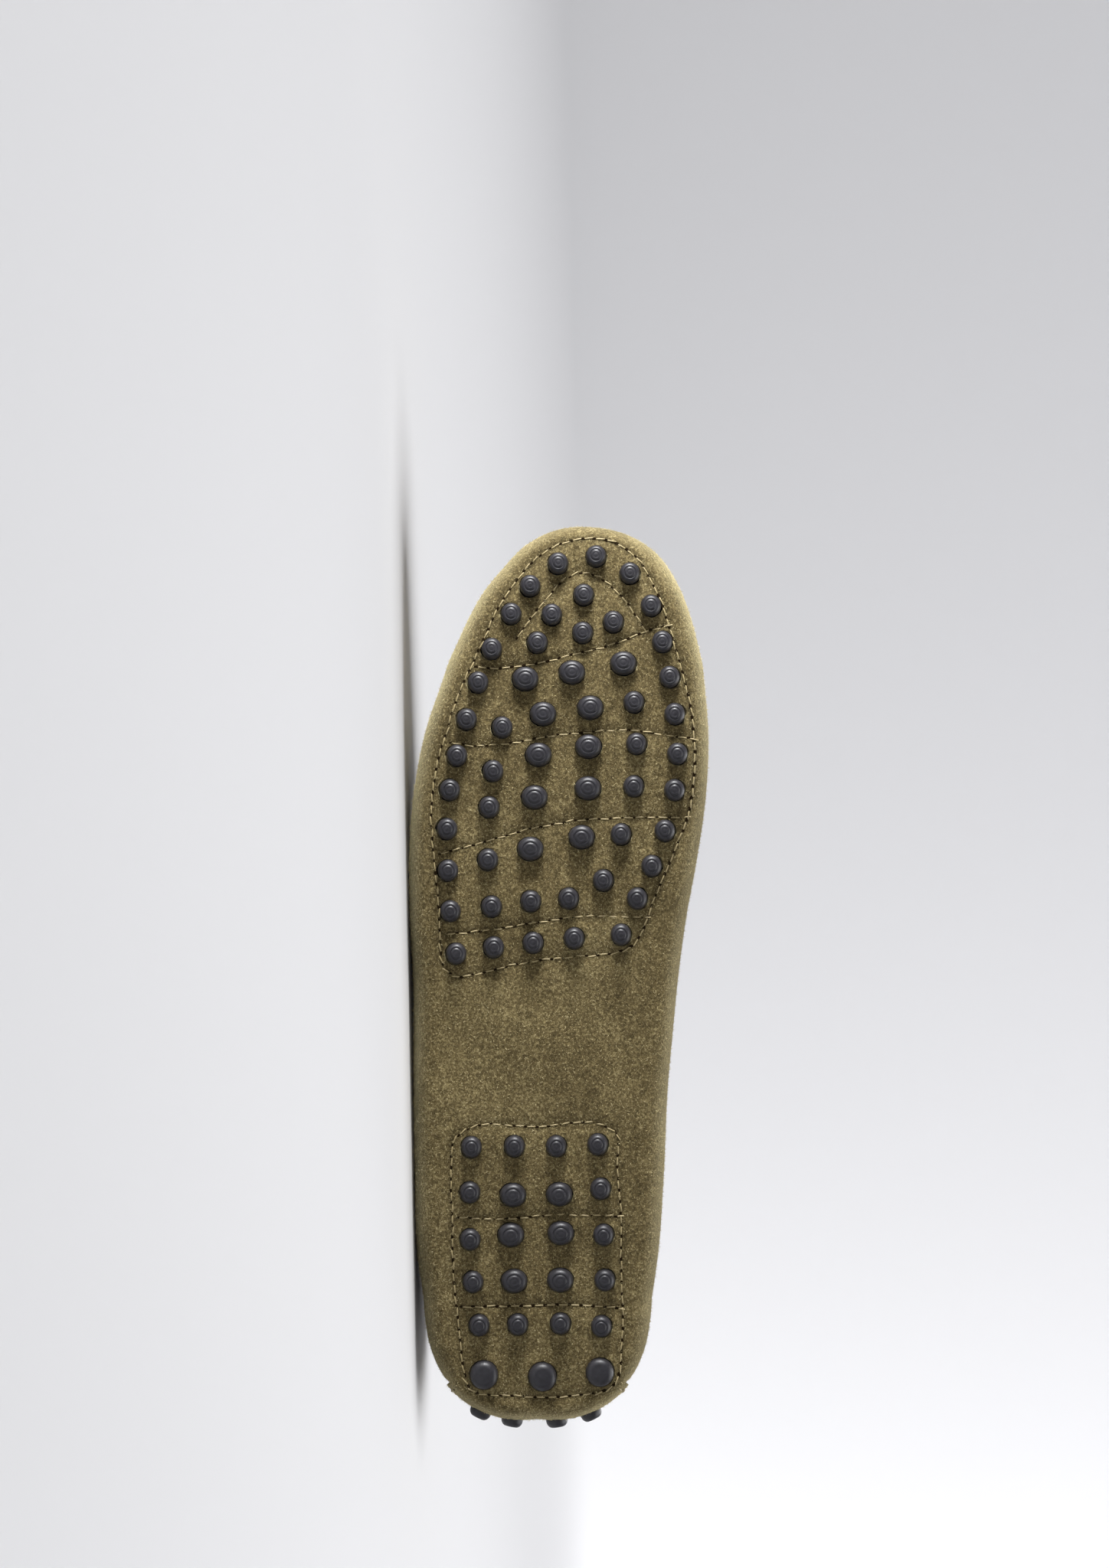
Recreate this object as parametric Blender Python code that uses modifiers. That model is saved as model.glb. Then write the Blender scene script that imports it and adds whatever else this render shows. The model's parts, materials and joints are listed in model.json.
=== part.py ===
"""Driving moccasin: a right shoe in suede, with rubber studs through its sole.

The shoe is modelled standing: the toe along +X, the inner side along +Y, and the
underside of the suede at Z = 0, with the studs below it. An empty then lays it down on
its outer side, as it comes to rest on a floor. Everything is in metres.
"""

import math
from collections import namedtuple

import bmesh
import bpy
import numpy as np
from mathutils import Matrix, Vector
from mathutils.geometry import intersect_point_tri

# The last: main sizes of the shoe's outside
SHOE_LENGTH = 0.289
BALL_WIDTH = 0.096
INSTEP_HEIGHT = 0.072
TOE_SPRING = 0.006
EDGE_ROLL = 0.0065
EDGE_HEIGHT = 0.012
WALL_CURVE = 2.5

# Materials and how they fit together
SUEDE = 0.0018
APRON_SUEDE = 0.0016
RUBBER = 0.0015
INSOLE = 0.0025
GAP = 0.0003
SEAM_LIP = 0.003
INSOLE_INSET = 0.005
PLATE_INSET = 0.0005
HEEL_PLATE_HALF = 0.0285

# Studs: width across the shoe, length along it, and how far they stand out
STUD_HEIGHT = 0.0035
STUD_SHOULDER = 0.0010
STUD_TIP_SHARE = 0.72
SMALL_STUD = (0.0066, 0.0070)
LARGE_STUD = (0.0084, 0.0076)
EDGE_STUD = (0.0090, 0.0092)
STUD_SIDES = 8
HOLE_REACH = 0.006

# Shares of SHOE_LENGTH where the shoe's parts begin and end
HEEL_CENTRE = 0.132
TOE_CENTRE = 0.833
THROAT = 0.486
SPRING_START = 0.700
FOREFOOT_PLATE_START = 0.496
HEEL_PLATE_END = 0.330

# Sections in each stretch of the walk round the shoe
SIDE_STEPS = 14
TOE_STEPS = 12
HEEL_STEPS = 18

# Sections across the shoe. x: share of SHOE_LENGTH. centre, reach, edge_reach: shares of
# BALL_WIDTH. edge_height and crown (of the apron): shares of INSTEP_HEIGHT.
Side = namedtuple("Side", "x centre reach edge_reach edge_height crown")
SIDES = [
    Side(0.132, 0.000, 0.383, 0.292, 0.750, 0.000),
    Side(0.181, 0.000, 0.404, 0.318, 0.705, 0.000),
    Side(0.267, 0.005, 0.418, 0.344, 0.667, 0.000),
    Side(0.368, 0.010, 0.427, 0.354, 0.694, 0.000),
    Side(0.438, 0.020, 0.436, 0.335, 0.800, 1.000),
    Side(0.486, 0.026, 0.444, 0.315, 0.905, 1.000),
    Side(0.556, 0.034, 0.464, 0.323, 0.868, 0.950),
    Side(0.625, 0.052, 0.484, 0.349, 0.785, 0.860),
    Side(0.694, 0.074, 0.491, 0.359, 0.701, 0.765),
    Side(0.764, 0.097, 0.476, 0.350, 0.632, 0.680),
    Side(0.833, 0.123, 0.434, 0.318, 0.569, 0.604),
]

# Sections round the toe: turn in degrees from straight ahead, inner side positive
Toe = namedtuple("Toe", "turn reach edge_reach edge_height")
TOE = [
    Toe(-90, 0.434, 0.318, 0.569),
    Toe(-75, 0.406, 0.296, 0.550),
    Toe(-60, 0.402, 0.287, 0.530),
    Toe(-47, 0.413, 0.290, 0.512),
    Toe(-34, 0.431, 0.302, 0.500),
    Toe(-20, 0.468, 0.332, 0.492),
    Toe(-6, 0.494, 0.356, 0.490),
    Toe(8, 0.503, 0.366, 0.490),
    Toe(22, 0.505, 0.368, 0.494),
    Toe(34, 0.494, 0.359, 0.502),
    Toe(48, 0.464, 0.335, 0.515),
    Toe(62, 0.438, 0.317, 0.533),
    Toe(76, 0.427, 0.311, 0.552),
    Toe(90, 0.434, 0.318, 0.569),
]

# Sections round the heel: turn in degrees away from the side, alike on both sides
Heel = namedtuple("Heel", "turn reach edge_reach edge_height")
HEEL = [
    Heel(90, 0.383, 0.292, 0.750),
    Heel(100, 0.384, 0.290, 0.756),
    Heel(115, 0.396, 0.290, 0.766),
    Heel(130, 0.409, 0.291, 0.774),
    Heel(145, 0.414, 0.293, 0.778),
    Heel(162, 0.408, 0.291, 0.780),
    Heel(180, 0.393, 0.285, 0.780),
]

# The tongue end of the apron, from its tip forwards, in the same shares
Tongue = namedtuple("Tongue", "x half edge_height crown")
TONGUE = [
    Tongue(0.392, 0.094, 1.060, 1.085),
    Tongue(0.406, 0.167, 1.010, 1.078),
    Tongue(0.430, 0.219, 0.955, 1.060),
    Tongue(0.458, 0.252, 0.915, 1.030),
]

# Stud chart. x: share of SHOE_LENGTH, y: share of BALL_WIDTH from the last's own line
INNER_RING = [
    (0.959, 0.195), (0.940, 0.307), (0.904, 0.378), (0.864, 0.415), (0.825, 0.439),
    (0.784, 0.456), (0.740, 0.465), (0.700, 0.455), (0.655, 0.423), (0.616, 0.379),
    (0.580, 0.331), (0.540, 0.277),
]
OUTER_RING = [
    (0.951, 0.068), (0.926, -0.025), (0.895, -0.088), (0.856, -0.153), (0.819, -0.198),
    (0.778, -0.236), (0.738, -0.268), (0.700, -0.292), (0.657, -0.301), (0.611, -0.298),
    (0.566, -0.290), (0.519, -0.271),
]
REAR_ROW = [(0.526, -0.146), (0.531, -0.015), (0.536, 0.121)]
TOE_GROUP = [(0.916, 0.153), (0.894, 0.047), (0.886, 0.252), (0.874, 0.150), (0.863, -0.001)]
FRONT_LARGE = [(0.840, 0.285), (0.830, 0.114), (0.823, -0.041)]
# Rows of four across the ball: small, large, large, small from the inner side
BALL_ROWS = [
    [(0.797, 0.320), (0.791, 0.175), (0.784, 0.018), (0.769, -0.118)],
    [(0.751, 0.328), (0.748, 0.169), (0.739, 0.003), (0.721, -0.148)],
    [(0.704, 0.319), (0.702, 0.167), (0.692, -0.010), (0.681, -0.161)],
    [(0.651, 0.277), (0.648, 0.146), (0.635, -0.024), (0.623, -0.165)],
]
LAST_BALL_ROW = [(0.600, 0.218), (0.580, 0.103), (0.577, -0.023), (0.571, -0.153)]
HEEL_FRONT_ROW = [(0.308, 0.200), (0.306, 0.062), (0.306, -0.077), (0.305, -0.220)]
HEEL_ROWS = [
    [(0.259, 0.209), (0.253, 0.072), (0.252, -0.082), (0.255, -0.225)],
    [(0.208, 0.219), (0.210, 0.077), (0.208, -0.089), (0.203, -0.224)],
    [(0.158, 0.223), (0.158, 0.075), (0.157, -0.078), (0.156, -0.215)],
]
HEEL_BACK_ROW = [(0.107, 0.212), (0.110, 0.076), (0.109, -0.066), (0.108, -0.194)]
HEEL_EDGE_ROW = [(0.056, 0.207), (0.051, 0.016), (0.053, -0.178)]

# Studs up the back of the heel: height as the section's own step, turn from straight back
CLIMBING_STUDS = [
    (1.93, -25), (1.93, -9), (1.93, 12), (1.93, 27),
    (2.28, -17), (2.28, 1), (2.28, 18),
    (2.58, -9), (2.58, 10),
]
CLIMBING_PLATE_STEPS = (1.80, 2.00, 2.25, 2.50, 2.75)
CLIMBING_PLATE_TURNS = (38, 39, 35, 28, 17)
CLIMBING_PLATE_COLUMNS = 8

Meridian = namedtuple("Meridian", "foot out reach edge_reach edge_height crown")


def table_value(rows, field, at):
    """One column of a table between its rows, on a smooth curve through them."""
    keys = np.array([row[0] for row in rows], float)
    values = np.array([getattr(row, field) for row in rows], float)
    slopes = np.gradient(values, keys)
    i = int(np.clip(np.searchsorted(keys, at) - 1, 0, len(keys) - 2))
    span = keys[i + 1] - keys[i]
    t = (at - keys[i]) / span
    start = (1 + 2 * t) * (1 - t) ** 2 * values[i] + t * (1 - t) ** 2 * span * slopes[i]
    end = t * t * (3 - 2 * t) * values[i + 1] - t * t * (1 - t) * span * slopes[i + 1]
    return float(start + end)


def heading(turn):
    """Direction in plan, from straight ahead at 0 to the inner side at 90 degrees."""
    return Vector((math.cos(math.radians(turn)), math.sin(math.radians(turn))))


def side_meridian(x, side):
    """The section across the shoe at a share of its length, on side 1 (inner) or -1."""
    read = lambda field: table_value(SIDES, field, x)
    foot = Vector((x * SHOE_LENGTH, read("centre") * BALL_WIDTH))
    return Meridian(
        foot, Vector((0, side)),
        read("reach") * BALL_WIDTH, read("edge_reach") * BALL_WIDTH,
        read("edge_height") * INSTEP_HEIGHT, read("crown") * INSTEP_HEIGHT,
    )


def end_meridian(rows, turn, key, x):
    """A section round the toe or the heel, about a fixed point of the last's own line."""
    read = lambda field: table_value(rows, field, key)
    foot = Vector((x * SHOE_LENGTH, table_value(SIDES, "centre", x) * BALL_WIDTH))
    return Meridian(
        foot, heading(turn),
        read("reach") * BALL_WIDTH, read("edge_reach") * BALL_WIDTH,
        read("edge_height") * INSTEP_HEIGHT, table_value(SIDES, "crown", x) * INSTEP_HEIGHT,
    )


def toe_meridian(turn):
    return end_meridian(TOE, turn, turn, TOE_CENTRE)


def heel_meridian(turn):
    return end_meridian(HEEL, turn, abs(turn), HEEL_CENTRE)


def spread(start, end, steps):
    """Evenly spaced values from start to end, both included."""
    return [start + (end - start) * i / steps for i in range(steps + 1)]


def walk(x_back, x_front, steps, round_toe, round_heel):
    """Meridians in order: up the inner side, round the toe, back down the outer side and,
    where the walk closes, round the heel."""
    stations = spread(x_back, x_front, steps)
    inner = [side_meridian(x, 1) for x in stations]
    toe = [toe_meridian(turn) for turn in spread(90, -90, TOE_STEPS)[1:-1]] if round_toe else []
    outer = [side_meridian(x, -1) for x in reversed(stations)]
    heel = []
    if round_heel:
        turns = spread(90, 270, HEEL_STEPS)[1:-1]
        heel = [heel_meridian(turn if turn <= 180 else turn - 360) for turn in reversed(turns)]
    return inner + toe + outer + heel


def section(meridian, step, depth=0.0):
    """Distance from the foot and height of a point on a meridian's section. step runs
    from 0 to 1 under the sole, to 2 round its edge and to 3 up the wall; depth goes in
    through the suede."""
    flat = meridian.reach - EDGE_ROLL
    if step <= 1:
        point, normal = Vector((step * flat, 0)), Vector((0, -1))
    elif step <= 2:
        angle = (step - 1) * math.pi / 2
        point = Vector((
            flat + EDGE_ROLL * math.sin(angle), EDGE_HEIGHT * (1 - math.cos(angle)),
        ))
        normal = Vector((math.sin(angle) / EDGE_ROLL, -math.cos(angle) / EDGE_HEIGHT))
    else:
        share = step - 2
        lean = meridian.reach - meridian.edge_reach
        rise = meridian.edge_height - EDGE_HEIGHT
        inwards = lean * share**WALL_CURVE
        point = Vector((meridian.reach - inwards, EDGE_HEIGHT + rise * share))
        normal = Vector((rise, WALL_CURVE * lean * share ** (WALL_CURVE - 1)))
    return point - normal.normalized() * depth


def toe_slope(x):
    """Lift and slope of the sole where the toe springs up."""
    start = SPRING_START * SHOE_LENGTH
    run = SHOE_LENGTH - start
    past = max(0.0, x - start) / run
    return TOE_SPRING * past**2, math.atan(2 * TOE_SPRING * past / run)


def spring(point):
    """Bends a point of the flat-soled shoe up with the toe."""
    lift, slope = toe_slope(point.x)
    return Vector((point.x - point.z * math.sin(slope), point.y, lift + point.z * math.cos(slope)))


def place(meridian, distance, height):
    """The point of the shoe at a distance and a height on a meridian."""
    flat = meridian.foot + meridian.out * distance
    return spring(Vector((flat.x, flat.y, height)))


def skin(name, columns, closed):
    """An open sheet over columns of points, each from the shoe's own line outwards."""
    bm = bmesh.new()
    grid = [[bm.verts.new(point) for point in column] for column in columns]
    last = len(grid) if closed else len(grid) - 1
    for i in range(last):
        here, after = grid[i], grid[(i + 1) % len(grid)]
        for k in range(len(here) - 1):
            bm.faces.new((here[k], here[k + 1], after[k + 1], after[k]))
    bmesh.ops.remove_doubles(bm, verts=bm.verts, dist=1e-6)
    mesh = bpy.data.meshes.new(name)
    bm.to_mesh(mesh)
    bm.free()
    return mesh


def add_object(name, mesh, material, collection):
    part = bpy.data.objects.new(name, mesh)
    mesh.materials.append(material)
    mesh.shade_smooth()
    mesh.set_sharp_from_angle(angle=math.radians(35))
    collection.objects.link(part)
    return part


def thicken(part, thickness):
    """Gives a sheet its wall, on the side away from its faces."""
    wall = part.modifiers.new("wall", "SOLIDIFY")
    wall.thickness = thickness
    wall.offset = -1
    wall.use_even_offset = True
    wall.use_quality_normals = True


def combine(part, other, operation):
    cut = part.modifiers.new(operation.lower(), "BOOLEAN")
    cut.operation = operation
    cut.solver = "EXACT"
    cut.object = other


def stud_frame(x, y):
    """Where a stud leaves the sole: local +Z points into the shoe."""
    point = Vector((x * SHOE_LENGTH, y * BALL_WIDTH, 0))
    slope = toe_slope(point.x)[1]
    return Matrix.Translation(spring(point)) @ Matrix.Rotation(-slope, 4, "Y")


def climbing_frame(step, turn):
    """Where a stud leaves the back of the heel."""
    meridian = heel_meridian(180 + turn if turn <= 0 else turn - 180)
    outer = section(meridian, step)
    inner = section(meridian, step, SUEDE)
    start = place(meridian, outer.x, outer.y)
    inwards = place(meridian, inner.x, inner.y) - start
    return Matrix.Translation(start) @ inwards.to_track_quat("Z", "Y").to_matrix().to_4x4()


def charted_studs(small, large=(), edge=()):
    """Frames and sizes of charted studs."""
    groups = ((small, SMALL_STUD), (large, LARGE_STUD), (edge, EDGE_STUD))
    return [(stud_frame(x, y), size) for points, size in groups for x, y in points]


def forefoot_studs():
    middle = [row[i] for row in BALL_ROWS for i in (1, 2)]
    outside = [row[i] for row in BALL_ROWS for i in (0, 3)]
    small = INNER_RING + OUTER_RING + REAR_ROW + TOE_GROUP + outside + LAST_BALL_ROW
    return charted_studs(small, FRONT_LARGE + middle)


def heel_studs():
    middle = [row[i] for row in HEEL_ROWS for i in (1, 2)]
    outside = [row[i] for row in HEEL_ROWS for i in (0, 3)]
    return charted_studs(HEEL_FRONT_ROW + outside + HEEL_BACK_ROW, middle, HEEL_EDGE_ROW)


def climbing_studs():
    return [(climbing_frame(step, turn), SMALL_STUD) for step, turn in CLIMBING_STUDS]


def add_prism(bm, frame, size, low, high):
    """An upright eight-sided prism of a stud's size, in the stud's own frame."""
    across = STUD_SIDES
    depth = high - low
    stretch = Matrix.Diagonal((size[1] / 2, size[0] / 2, 1, 1))
    turn = Matrix.Rotation(math.pi / across, 4, "Z")
    middle = Matrix.Translation((0, 0, (low + high) / 2))
    return bmesh.ops.create_cone(
        bm, cap_ends=True, segments=across, radius1=1, radius2=1, depth=depth,
        matrix=frame @ middle @ stretch @ turn,
    )["verts"]


def add_stud(bm, frame, size):
    """One stud: a straight shank out of the plate, then a shoulder that narrows to its tip."""
    root = SUEDE + GAP + RUBBER / 2
    verts = add_prism(bm, frame, size, STUD_SHOULDER - STUD_HEIGHT, root)
    inwards = frame.to_3x3() @ Vector((0, 0, 1))
    caps = [f for f in {f for v in verts for f in v.link_faces} if len(f.verts) == STUD_SIDES]
    end = min(caps, key=lambda f: f.calc_center_median().dot(inwards))
    tip = bmesh.ops.extrude_discrete_faces(bm, faces=[end])["faces"][0]
    centre = tip.calc_center_median()
    for vert in tip.verts:
        vert.co = centre + (vert.co - centre) * STUD_TIP_SHARE - inwards * STUD_SHOULDER


def stud_mesh(name, studs):
    bm = bmesh.new()
    for frame, size in studs:
        add_stud(bm, frame, size)
    mesh = bpy.data.meshes.new(name)
    bm.to_mesh(mesh)
    bm.free()
    return mesh


def hole_mesh(name, studs):
    bm = bmesh.new()
    for frame, size in studs:
        hole = [extent + 2 * GAP for extent in size]
        add_prism(bm, frame, hole, -HOLE_REACH, HOLE_REACH)
    mesh = bpy.data.meshes.new(name)
    bm.to_mesh(mesh)
    bm.free()
    return mesh


def add_helper(name, mesh, collection):
    """A cutter or a guide, which isn't a piece of the shoe."""
    helper = bpy.data.objects.new(name, mesh)
    helper.hide_render = True
    helper.display_type = "WIRE"
    collection.objects.link(helper)
    return helper


def make_upper(material, collection, helpers):
    """The moccasin: sole, sides and quarters in one wall, open at collar and apron."""
    steps = [0, 0.5, 1, 1.35, 1.65, *CLIMBING_PLATE_STEPS, 2.9, 3]
    around = walk(HEEL_CENTRE, TOE_CENTRE, SIDE_STEPS, True, True)
    columns = [[place(m, *section(m, step)) for step in steps] for m in around]
    upper = add_object("upper", skin("upper", columns, True), material, collection)
    thicken(upper, SUEDE)
    holes = hole_mesh("stud_holes", forefoot_studs() + heel_studs() + climbing_studs())
    combine(upper, add_helper("stud_holes", holes, helpers), "DIFFERENCE")
    return upper


def crown_slope():
    """How fast the apron's middle falls towards the toe, where its round end begins."""
    before = TOE_CENTRE - 0.02
    fall = table_value(SIDES, "crown", TOE_CENTRE) - table_value(SIDES, "crown", before)
    return fall * INSTEP_HEIGHT / ((TOE_CENTRE - before) * SHOE_LENGTH)


def apron_column(meridian):
    """The apron under its lip, from its middle out to the moccasin seam."""
    depth = SUEDE + GAP
    rise = meridian.edge_height - EDGE_HEIGHT
    top = section(meridian, 3, depth)
    rim = section(meridian, 3 - SEAM_LIP / rise, depth)
    tilt = crown_slope() * meridian.out.x
    column = []
    for share in (0, 0.3, 0.6, 0.85):
        arch = rim.y + (meridian.crown - rim.y) * (1 - share**2)
        height = arch + tilt * rim.x * share * (1 - share)
        column.append(place(meridian, share * rim.x, height))
    return column + [place(meridian, *rim), place(meridian, *top)]


def tongue_column(row, side):
    """The tongue behind the throat, which has no lip."""
    centre = table_value(SIDES, "centre", row.x) * BALL_WIDTH
    column = []
    for share in (0, 0.3, 0.6, 0.85, 0.95, 1):
        height = row.edge_height + (row.crown - row.edge_height) * (1 - share**2)
        y = centre + side * share * row.half * BALL_WIDTH
        column.append(Vector((row.x * SHOE_LENGTH, y, height * INSTEP_HEIGHT)))
    return column


def make_apron(material, collection):
    """The apron and tongue: one piece, set in the upper with a raised lip along the seam."""
    front = walk(THROAT, TOE_CENTRE, SIDE_STEPS // 2, True, False)
    columns = [tongue_column(row, 1) for row in TONGUE]
    columns += [apron_column(meridian) for meridian in front]
    columns += [tongue_column(row, -1) for row in reversed(TONGUE)]
    apron = add_object("apron", skin("apron", columns, False), material, collection)
    thicken(apron, APRON_SUEDE)
    return apron


def flat_layer(name, around, reach, height, closed):
    """A sheet parallel to the sole, out to the given reach on each meridian."""
    columns = []
    for meridian in around:
        limit = reach(meridian)
        columns.append([place(meridian, share * limit, height) for share in (0, 0.5, 1)])
    return skin(name, columns, closed)


def make_stud_plate(name, mesh, studs, material, collection, helpers):
    """A rubber plate inside the shoe, with its studs out through the suede."""
    plate = add_object(name, mesh, material, collection)
    thicken(plate, RUBBER)
    guide = add_helper(f"{name}_studs", stud_mesh(f"{name}_studs", studs), helpers)
    combine(plate, guide, "UNION")
    return plate


def make_forefoot_plate(material, collection, helpers):
    around = walk(FOREFOOT_PLATE_START, TOE_CENTRE, SIDE_STEPS // 2, True, False)
    reach = lambda meridian: meridian.reach - EDGE_ROLL - PLATE_INSET
    mesh = flat_layer("forefoot_stud_plate", around, reach, SUEDE + GAP, False)
    return make_stud_plate(mesh.name, mesh, forefoot_studs(), material, collection, helpers)


def heel_walk():
    """Meridians round the heel plate, from its front corner on the outer side."""
    stations = spread(HEEL_CENTRE, HEEL_PLATE_END, SIDE_STEPS // 4)
    outer = [side_meridian(x, -1) for x in reversed(stations)]
    inner = [side_meridian(x, 1) for x in stations]
    turns = spread(90, 270, HEEL_STEPS)[1:-1]
    heel = [heel_meridian(turn if turn <= 180 else turn - 360) for turn in reversed(turns)]
    return outer + heel + inner


def make_heel_plate(material, collection, helpers):
    reach = lambda meridian: min(meridian.reach - EDGE_ROLL - PLATE_INSET, HEEL_PLATE_HALF)
    mesh = flat_layer("heel_stud_plate", heel_walk(), reach, SUEDE + GAP, False)
    return make_stud_plate(mesh.name, mesh, heel_studs(), material, collection, helpers)


def make_heel_back_plate(material, collection, helpers):
    """The small plate whose studs climb the back of the heel."""
    columns = []
    for share in spread(1, -1, CLIMBING_PLATE_COLUMNS):
        column = []
        for step, half_turn in zip(CLIMBING_PLATE_STEPS, CLIMBING_PLATE_TURNS):
            turn = share * half_turn
            meridian = heel_meridian(180 + turn if turn <= 0 else turn - 180)
            column.append(place(meridian, *section(meridian, step, SUEDE + GAP)))
        columns.append(column)
    mesh = skin("heel_back_stud_plate", columns, False)
    return make_stud_plate(mesh.name, mesh, climbing_studs(), material, collection, helpers)


def make_insole(material, collection):
    around = walk(HEEL_CENTRE, TOE_CENTRE, SIDE_STEPS, True, True)
    reach = lambda meridian: meridian.reach - INSOLE_INSET
    height = SUEDE + GAP + RUBBER + GAP
    mesh = flat_layer("insole", around, reach, height, True)
    insole = add_object("insole", mesh, material, collection)
    thicken(insole, INSOLE)
    return insole


def solid_points(part):
    """Corners of a part's finished triangles, one row of three for each."""
    seen = part.evaluated_get(bpy.context.evaluated_depsgraph_get())
    mesh = seen.to_mesh()
    mesh.calc_loop_triangles()
    corners = [[mesh.vertices[i].co.copy() for i in tri.vertices] for tri in mesh.loop_triangles]
    seen.to_mesh_clear()
    return corners


def centre_of_mass(triangles):
    """Centre of a closed solid, summed over the tetrahedra from the origin."""
    volume, moment = 0.0, Vector()
    for a, b, c in triangles:
        piece = a.dot(b.cross(c)) / 6
        volume += piece
        moment += piece * (a + b + c) / 4
    return moment / volume


def resting_normal(triangles):
    """Outward normal of the hull face that the shoe rests on when laid on its outer side."""
    bm = bmesh.new()
    for point in {tuple(corner) for triangle in triangles for corner in triangle}:
        bm.verts.new(point)
    bmesh.ops.convex_hull(bm, input=bm.verts, use_existing_faces=False)
    bmesh.ops.triangulate(bm, faces=bm.faces)
    balance = centre_of_mass(triangles)
    found = None
    for face in bm.faces:
        normal = face.normal.copy()
        a, b, c = (vert.co for vert in face.verts)
        under = balance - normal * (balance - a).dot(normal)
        if normal.y < -0.5 and intersect_point_tri(under, a, b, c):
            found = normal
    bm.free()
    return found


def lying_matrix(parts):
    """Lays the shoe on its outer side, toe along -X, its box centred over the origin."""
    triangles = [triangle for part in parts for triangle in solid_points(part)]
    down = resting_normal(triangles).rotation_difference(Vector((0, 0, -1))).to_matrix()
    toe = down @ Vector((1, 0, 0))
    turn = Matrix.Rotation(math.pi - math.atan2(toe.y, toe.x), 3, "Z") @ down
    points = [turn @ corner for triangle in triangles for corner in triangle]
    low = Vector([min(p[axis] for p in points) for axis in range(3)])
    high = Vector([max(p[axis] for p in points) for axis in range(3)])
    shift = Vector((-(low.x + high.x) / 2, -(low.y + high.y) / 2, -low.z))
    return Matrix.Translation(shift) @ turn.to_4x4()


def make_material(name, colour, roughness):
    material = bpy.data.materials.new(name)
    material.use_nodes = True
    shader = material.node_tree.nodes["Principled BSDF"]
    shader.inputs["Base Color"].default_value = (*colour, 1)
    shader.inputs["Roughness"].default_value = roughness
    shader.inputs["Metallic"].default_value = 0
    material.diffuse_color = (*colour, 1)
    return material


def new_collection(name):
    collection = bpy.data.collections.new(name)
    bpy.context.scene.collection.children.link(collection)
    return collection


def main():
    for old in list(bpy.data.objects):
        bpy.data.objects.remove(old)
    shoe = new_collection("driving_moccasin")
    helpers = new_collection("cutters")
    suede = make_material("khaki_suede", (0.150, 0.115, 0.052), 0.95)
    rubber = make_material("charcoal_rubber", (0.028, 0.027, 0.028), 0.55)
    leather = make_material("insole_leather", (0.230, 0.160, 0.090), 0.60)
    parts = [
        make_upper(suede, shoe, helpers),
        make_apron(suede, shoe),
        make_forefoot_plate(rubber, shoe, helpers),
        make_heel_plate(rubber, shoe, helpers),
        make_heel_back_plate(rubber, shoe, helpers),
        make_insole(leather, shoe),
    ]
    pose = bpy.data.objects.new("lying_on_outer_side", None)
    shoe.objects.link(pose)
    pose.matrix_world = lying_matrix(parts)
    for piece in [*parts, *helpers.objects]:
        piece.parent = pose
    bpy.context.view_layer.update()


main()
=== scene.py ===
# %% [markdown]
# # A driving moccasin, seen on its sole
#
# This lesson dresses one suede driving moccasin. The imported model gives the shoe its
# sizes and its place, lying on its side. Each step below makes one piece or one finish:
# the suede with its punched holes, the rubber studs, the sewing, the apron, the inside.

# %% The frame
import json
import math

import bmesh
import bpy
import numpy as np
from mathutils import Euler, Matrix, Vector


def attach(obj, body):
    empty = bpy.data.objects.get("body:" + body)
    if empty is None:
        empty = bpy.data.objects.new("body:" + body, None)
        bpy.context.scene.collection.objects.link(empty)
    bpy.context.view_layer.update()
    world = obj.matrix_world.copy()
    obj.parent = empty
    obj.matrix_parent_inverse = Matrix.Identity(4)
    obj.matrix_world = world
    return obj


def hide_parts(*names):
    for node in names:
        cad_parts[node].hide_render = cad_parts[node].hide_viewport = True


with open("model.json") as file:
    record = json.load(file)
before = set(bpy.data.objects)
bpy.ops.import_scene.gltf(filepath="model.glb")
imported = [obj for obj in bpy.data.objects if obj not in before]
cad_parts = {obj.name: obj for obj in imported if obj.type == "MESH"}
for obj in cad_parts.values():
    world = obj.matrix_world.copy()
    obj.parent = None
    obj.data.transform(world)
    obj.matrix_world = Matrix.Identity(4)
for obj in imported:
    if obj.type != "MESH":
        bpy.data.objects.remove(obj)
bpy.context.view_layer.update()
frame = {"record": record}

# %% [markdown]
# ## The shoe's own axes
#
# A shoemaker works on a shoe that stands on its sole, so all shapes here are drawn that
# way: X from heel to toe, Y to the inner side, Z up, with the suede's underside at 0. Two
# stud tips are mounts of the model, and they are enough to find how the shoe lies.

# %% From the standing shoe to the lying one
SHOE_LENGTH = 0.289
BALL_WIDTH = 0.096
INSTEP_HEIGHT = 0.072
STUD_HEIGHT = 0.0035
HEEL_MOUNT = Vector((0.208 * SHOE_LENGTH, 0.077 * BALL_WIDTH, -STUD_HEIGHT))
BALL_MOUNT = Vector((0.692 * SHOE_LENGTH, -0.010 * BALL_WIDTH, -STUD_HEIGHT))


def lying_pose():
    """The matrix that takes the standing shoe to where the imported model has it."""
    mounts = {m["name"]: m for m in frame["record"]["mounts"]}
    heel = Vector(mounts["heel_stud_tip"]["pos_m"])
    ball = Vector(mounts["ball_stud_tip"]["pos_m"])
    up = -Vector(mounts["heel_stud_tip"]["axis"]).normalized()
    along = BALL_MOUNT - HEEL_MOUNT
    turn = Matrix.Rotation(-math.atan2(along.y, along.x), 3, up)
    toe = turn @ (ball - heel)
    toe = (toe - up * toe.dot(up)).normalized()
    axes = Matrix((toe, up.cross(toe), up)).transposed()
    return Matrix.Translation(heel - axes @ HEEL_MOUNT) @ axes.to_4x4()


POSE = lying_pose()
TURN = np.array(POSE.to_3x3())
SHIFT = np.array(POSE.translation)
print("toe points to", [round(v, 3) for v in POSE.to_3x3() @ Vector((1, 0, 0))])

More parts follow.
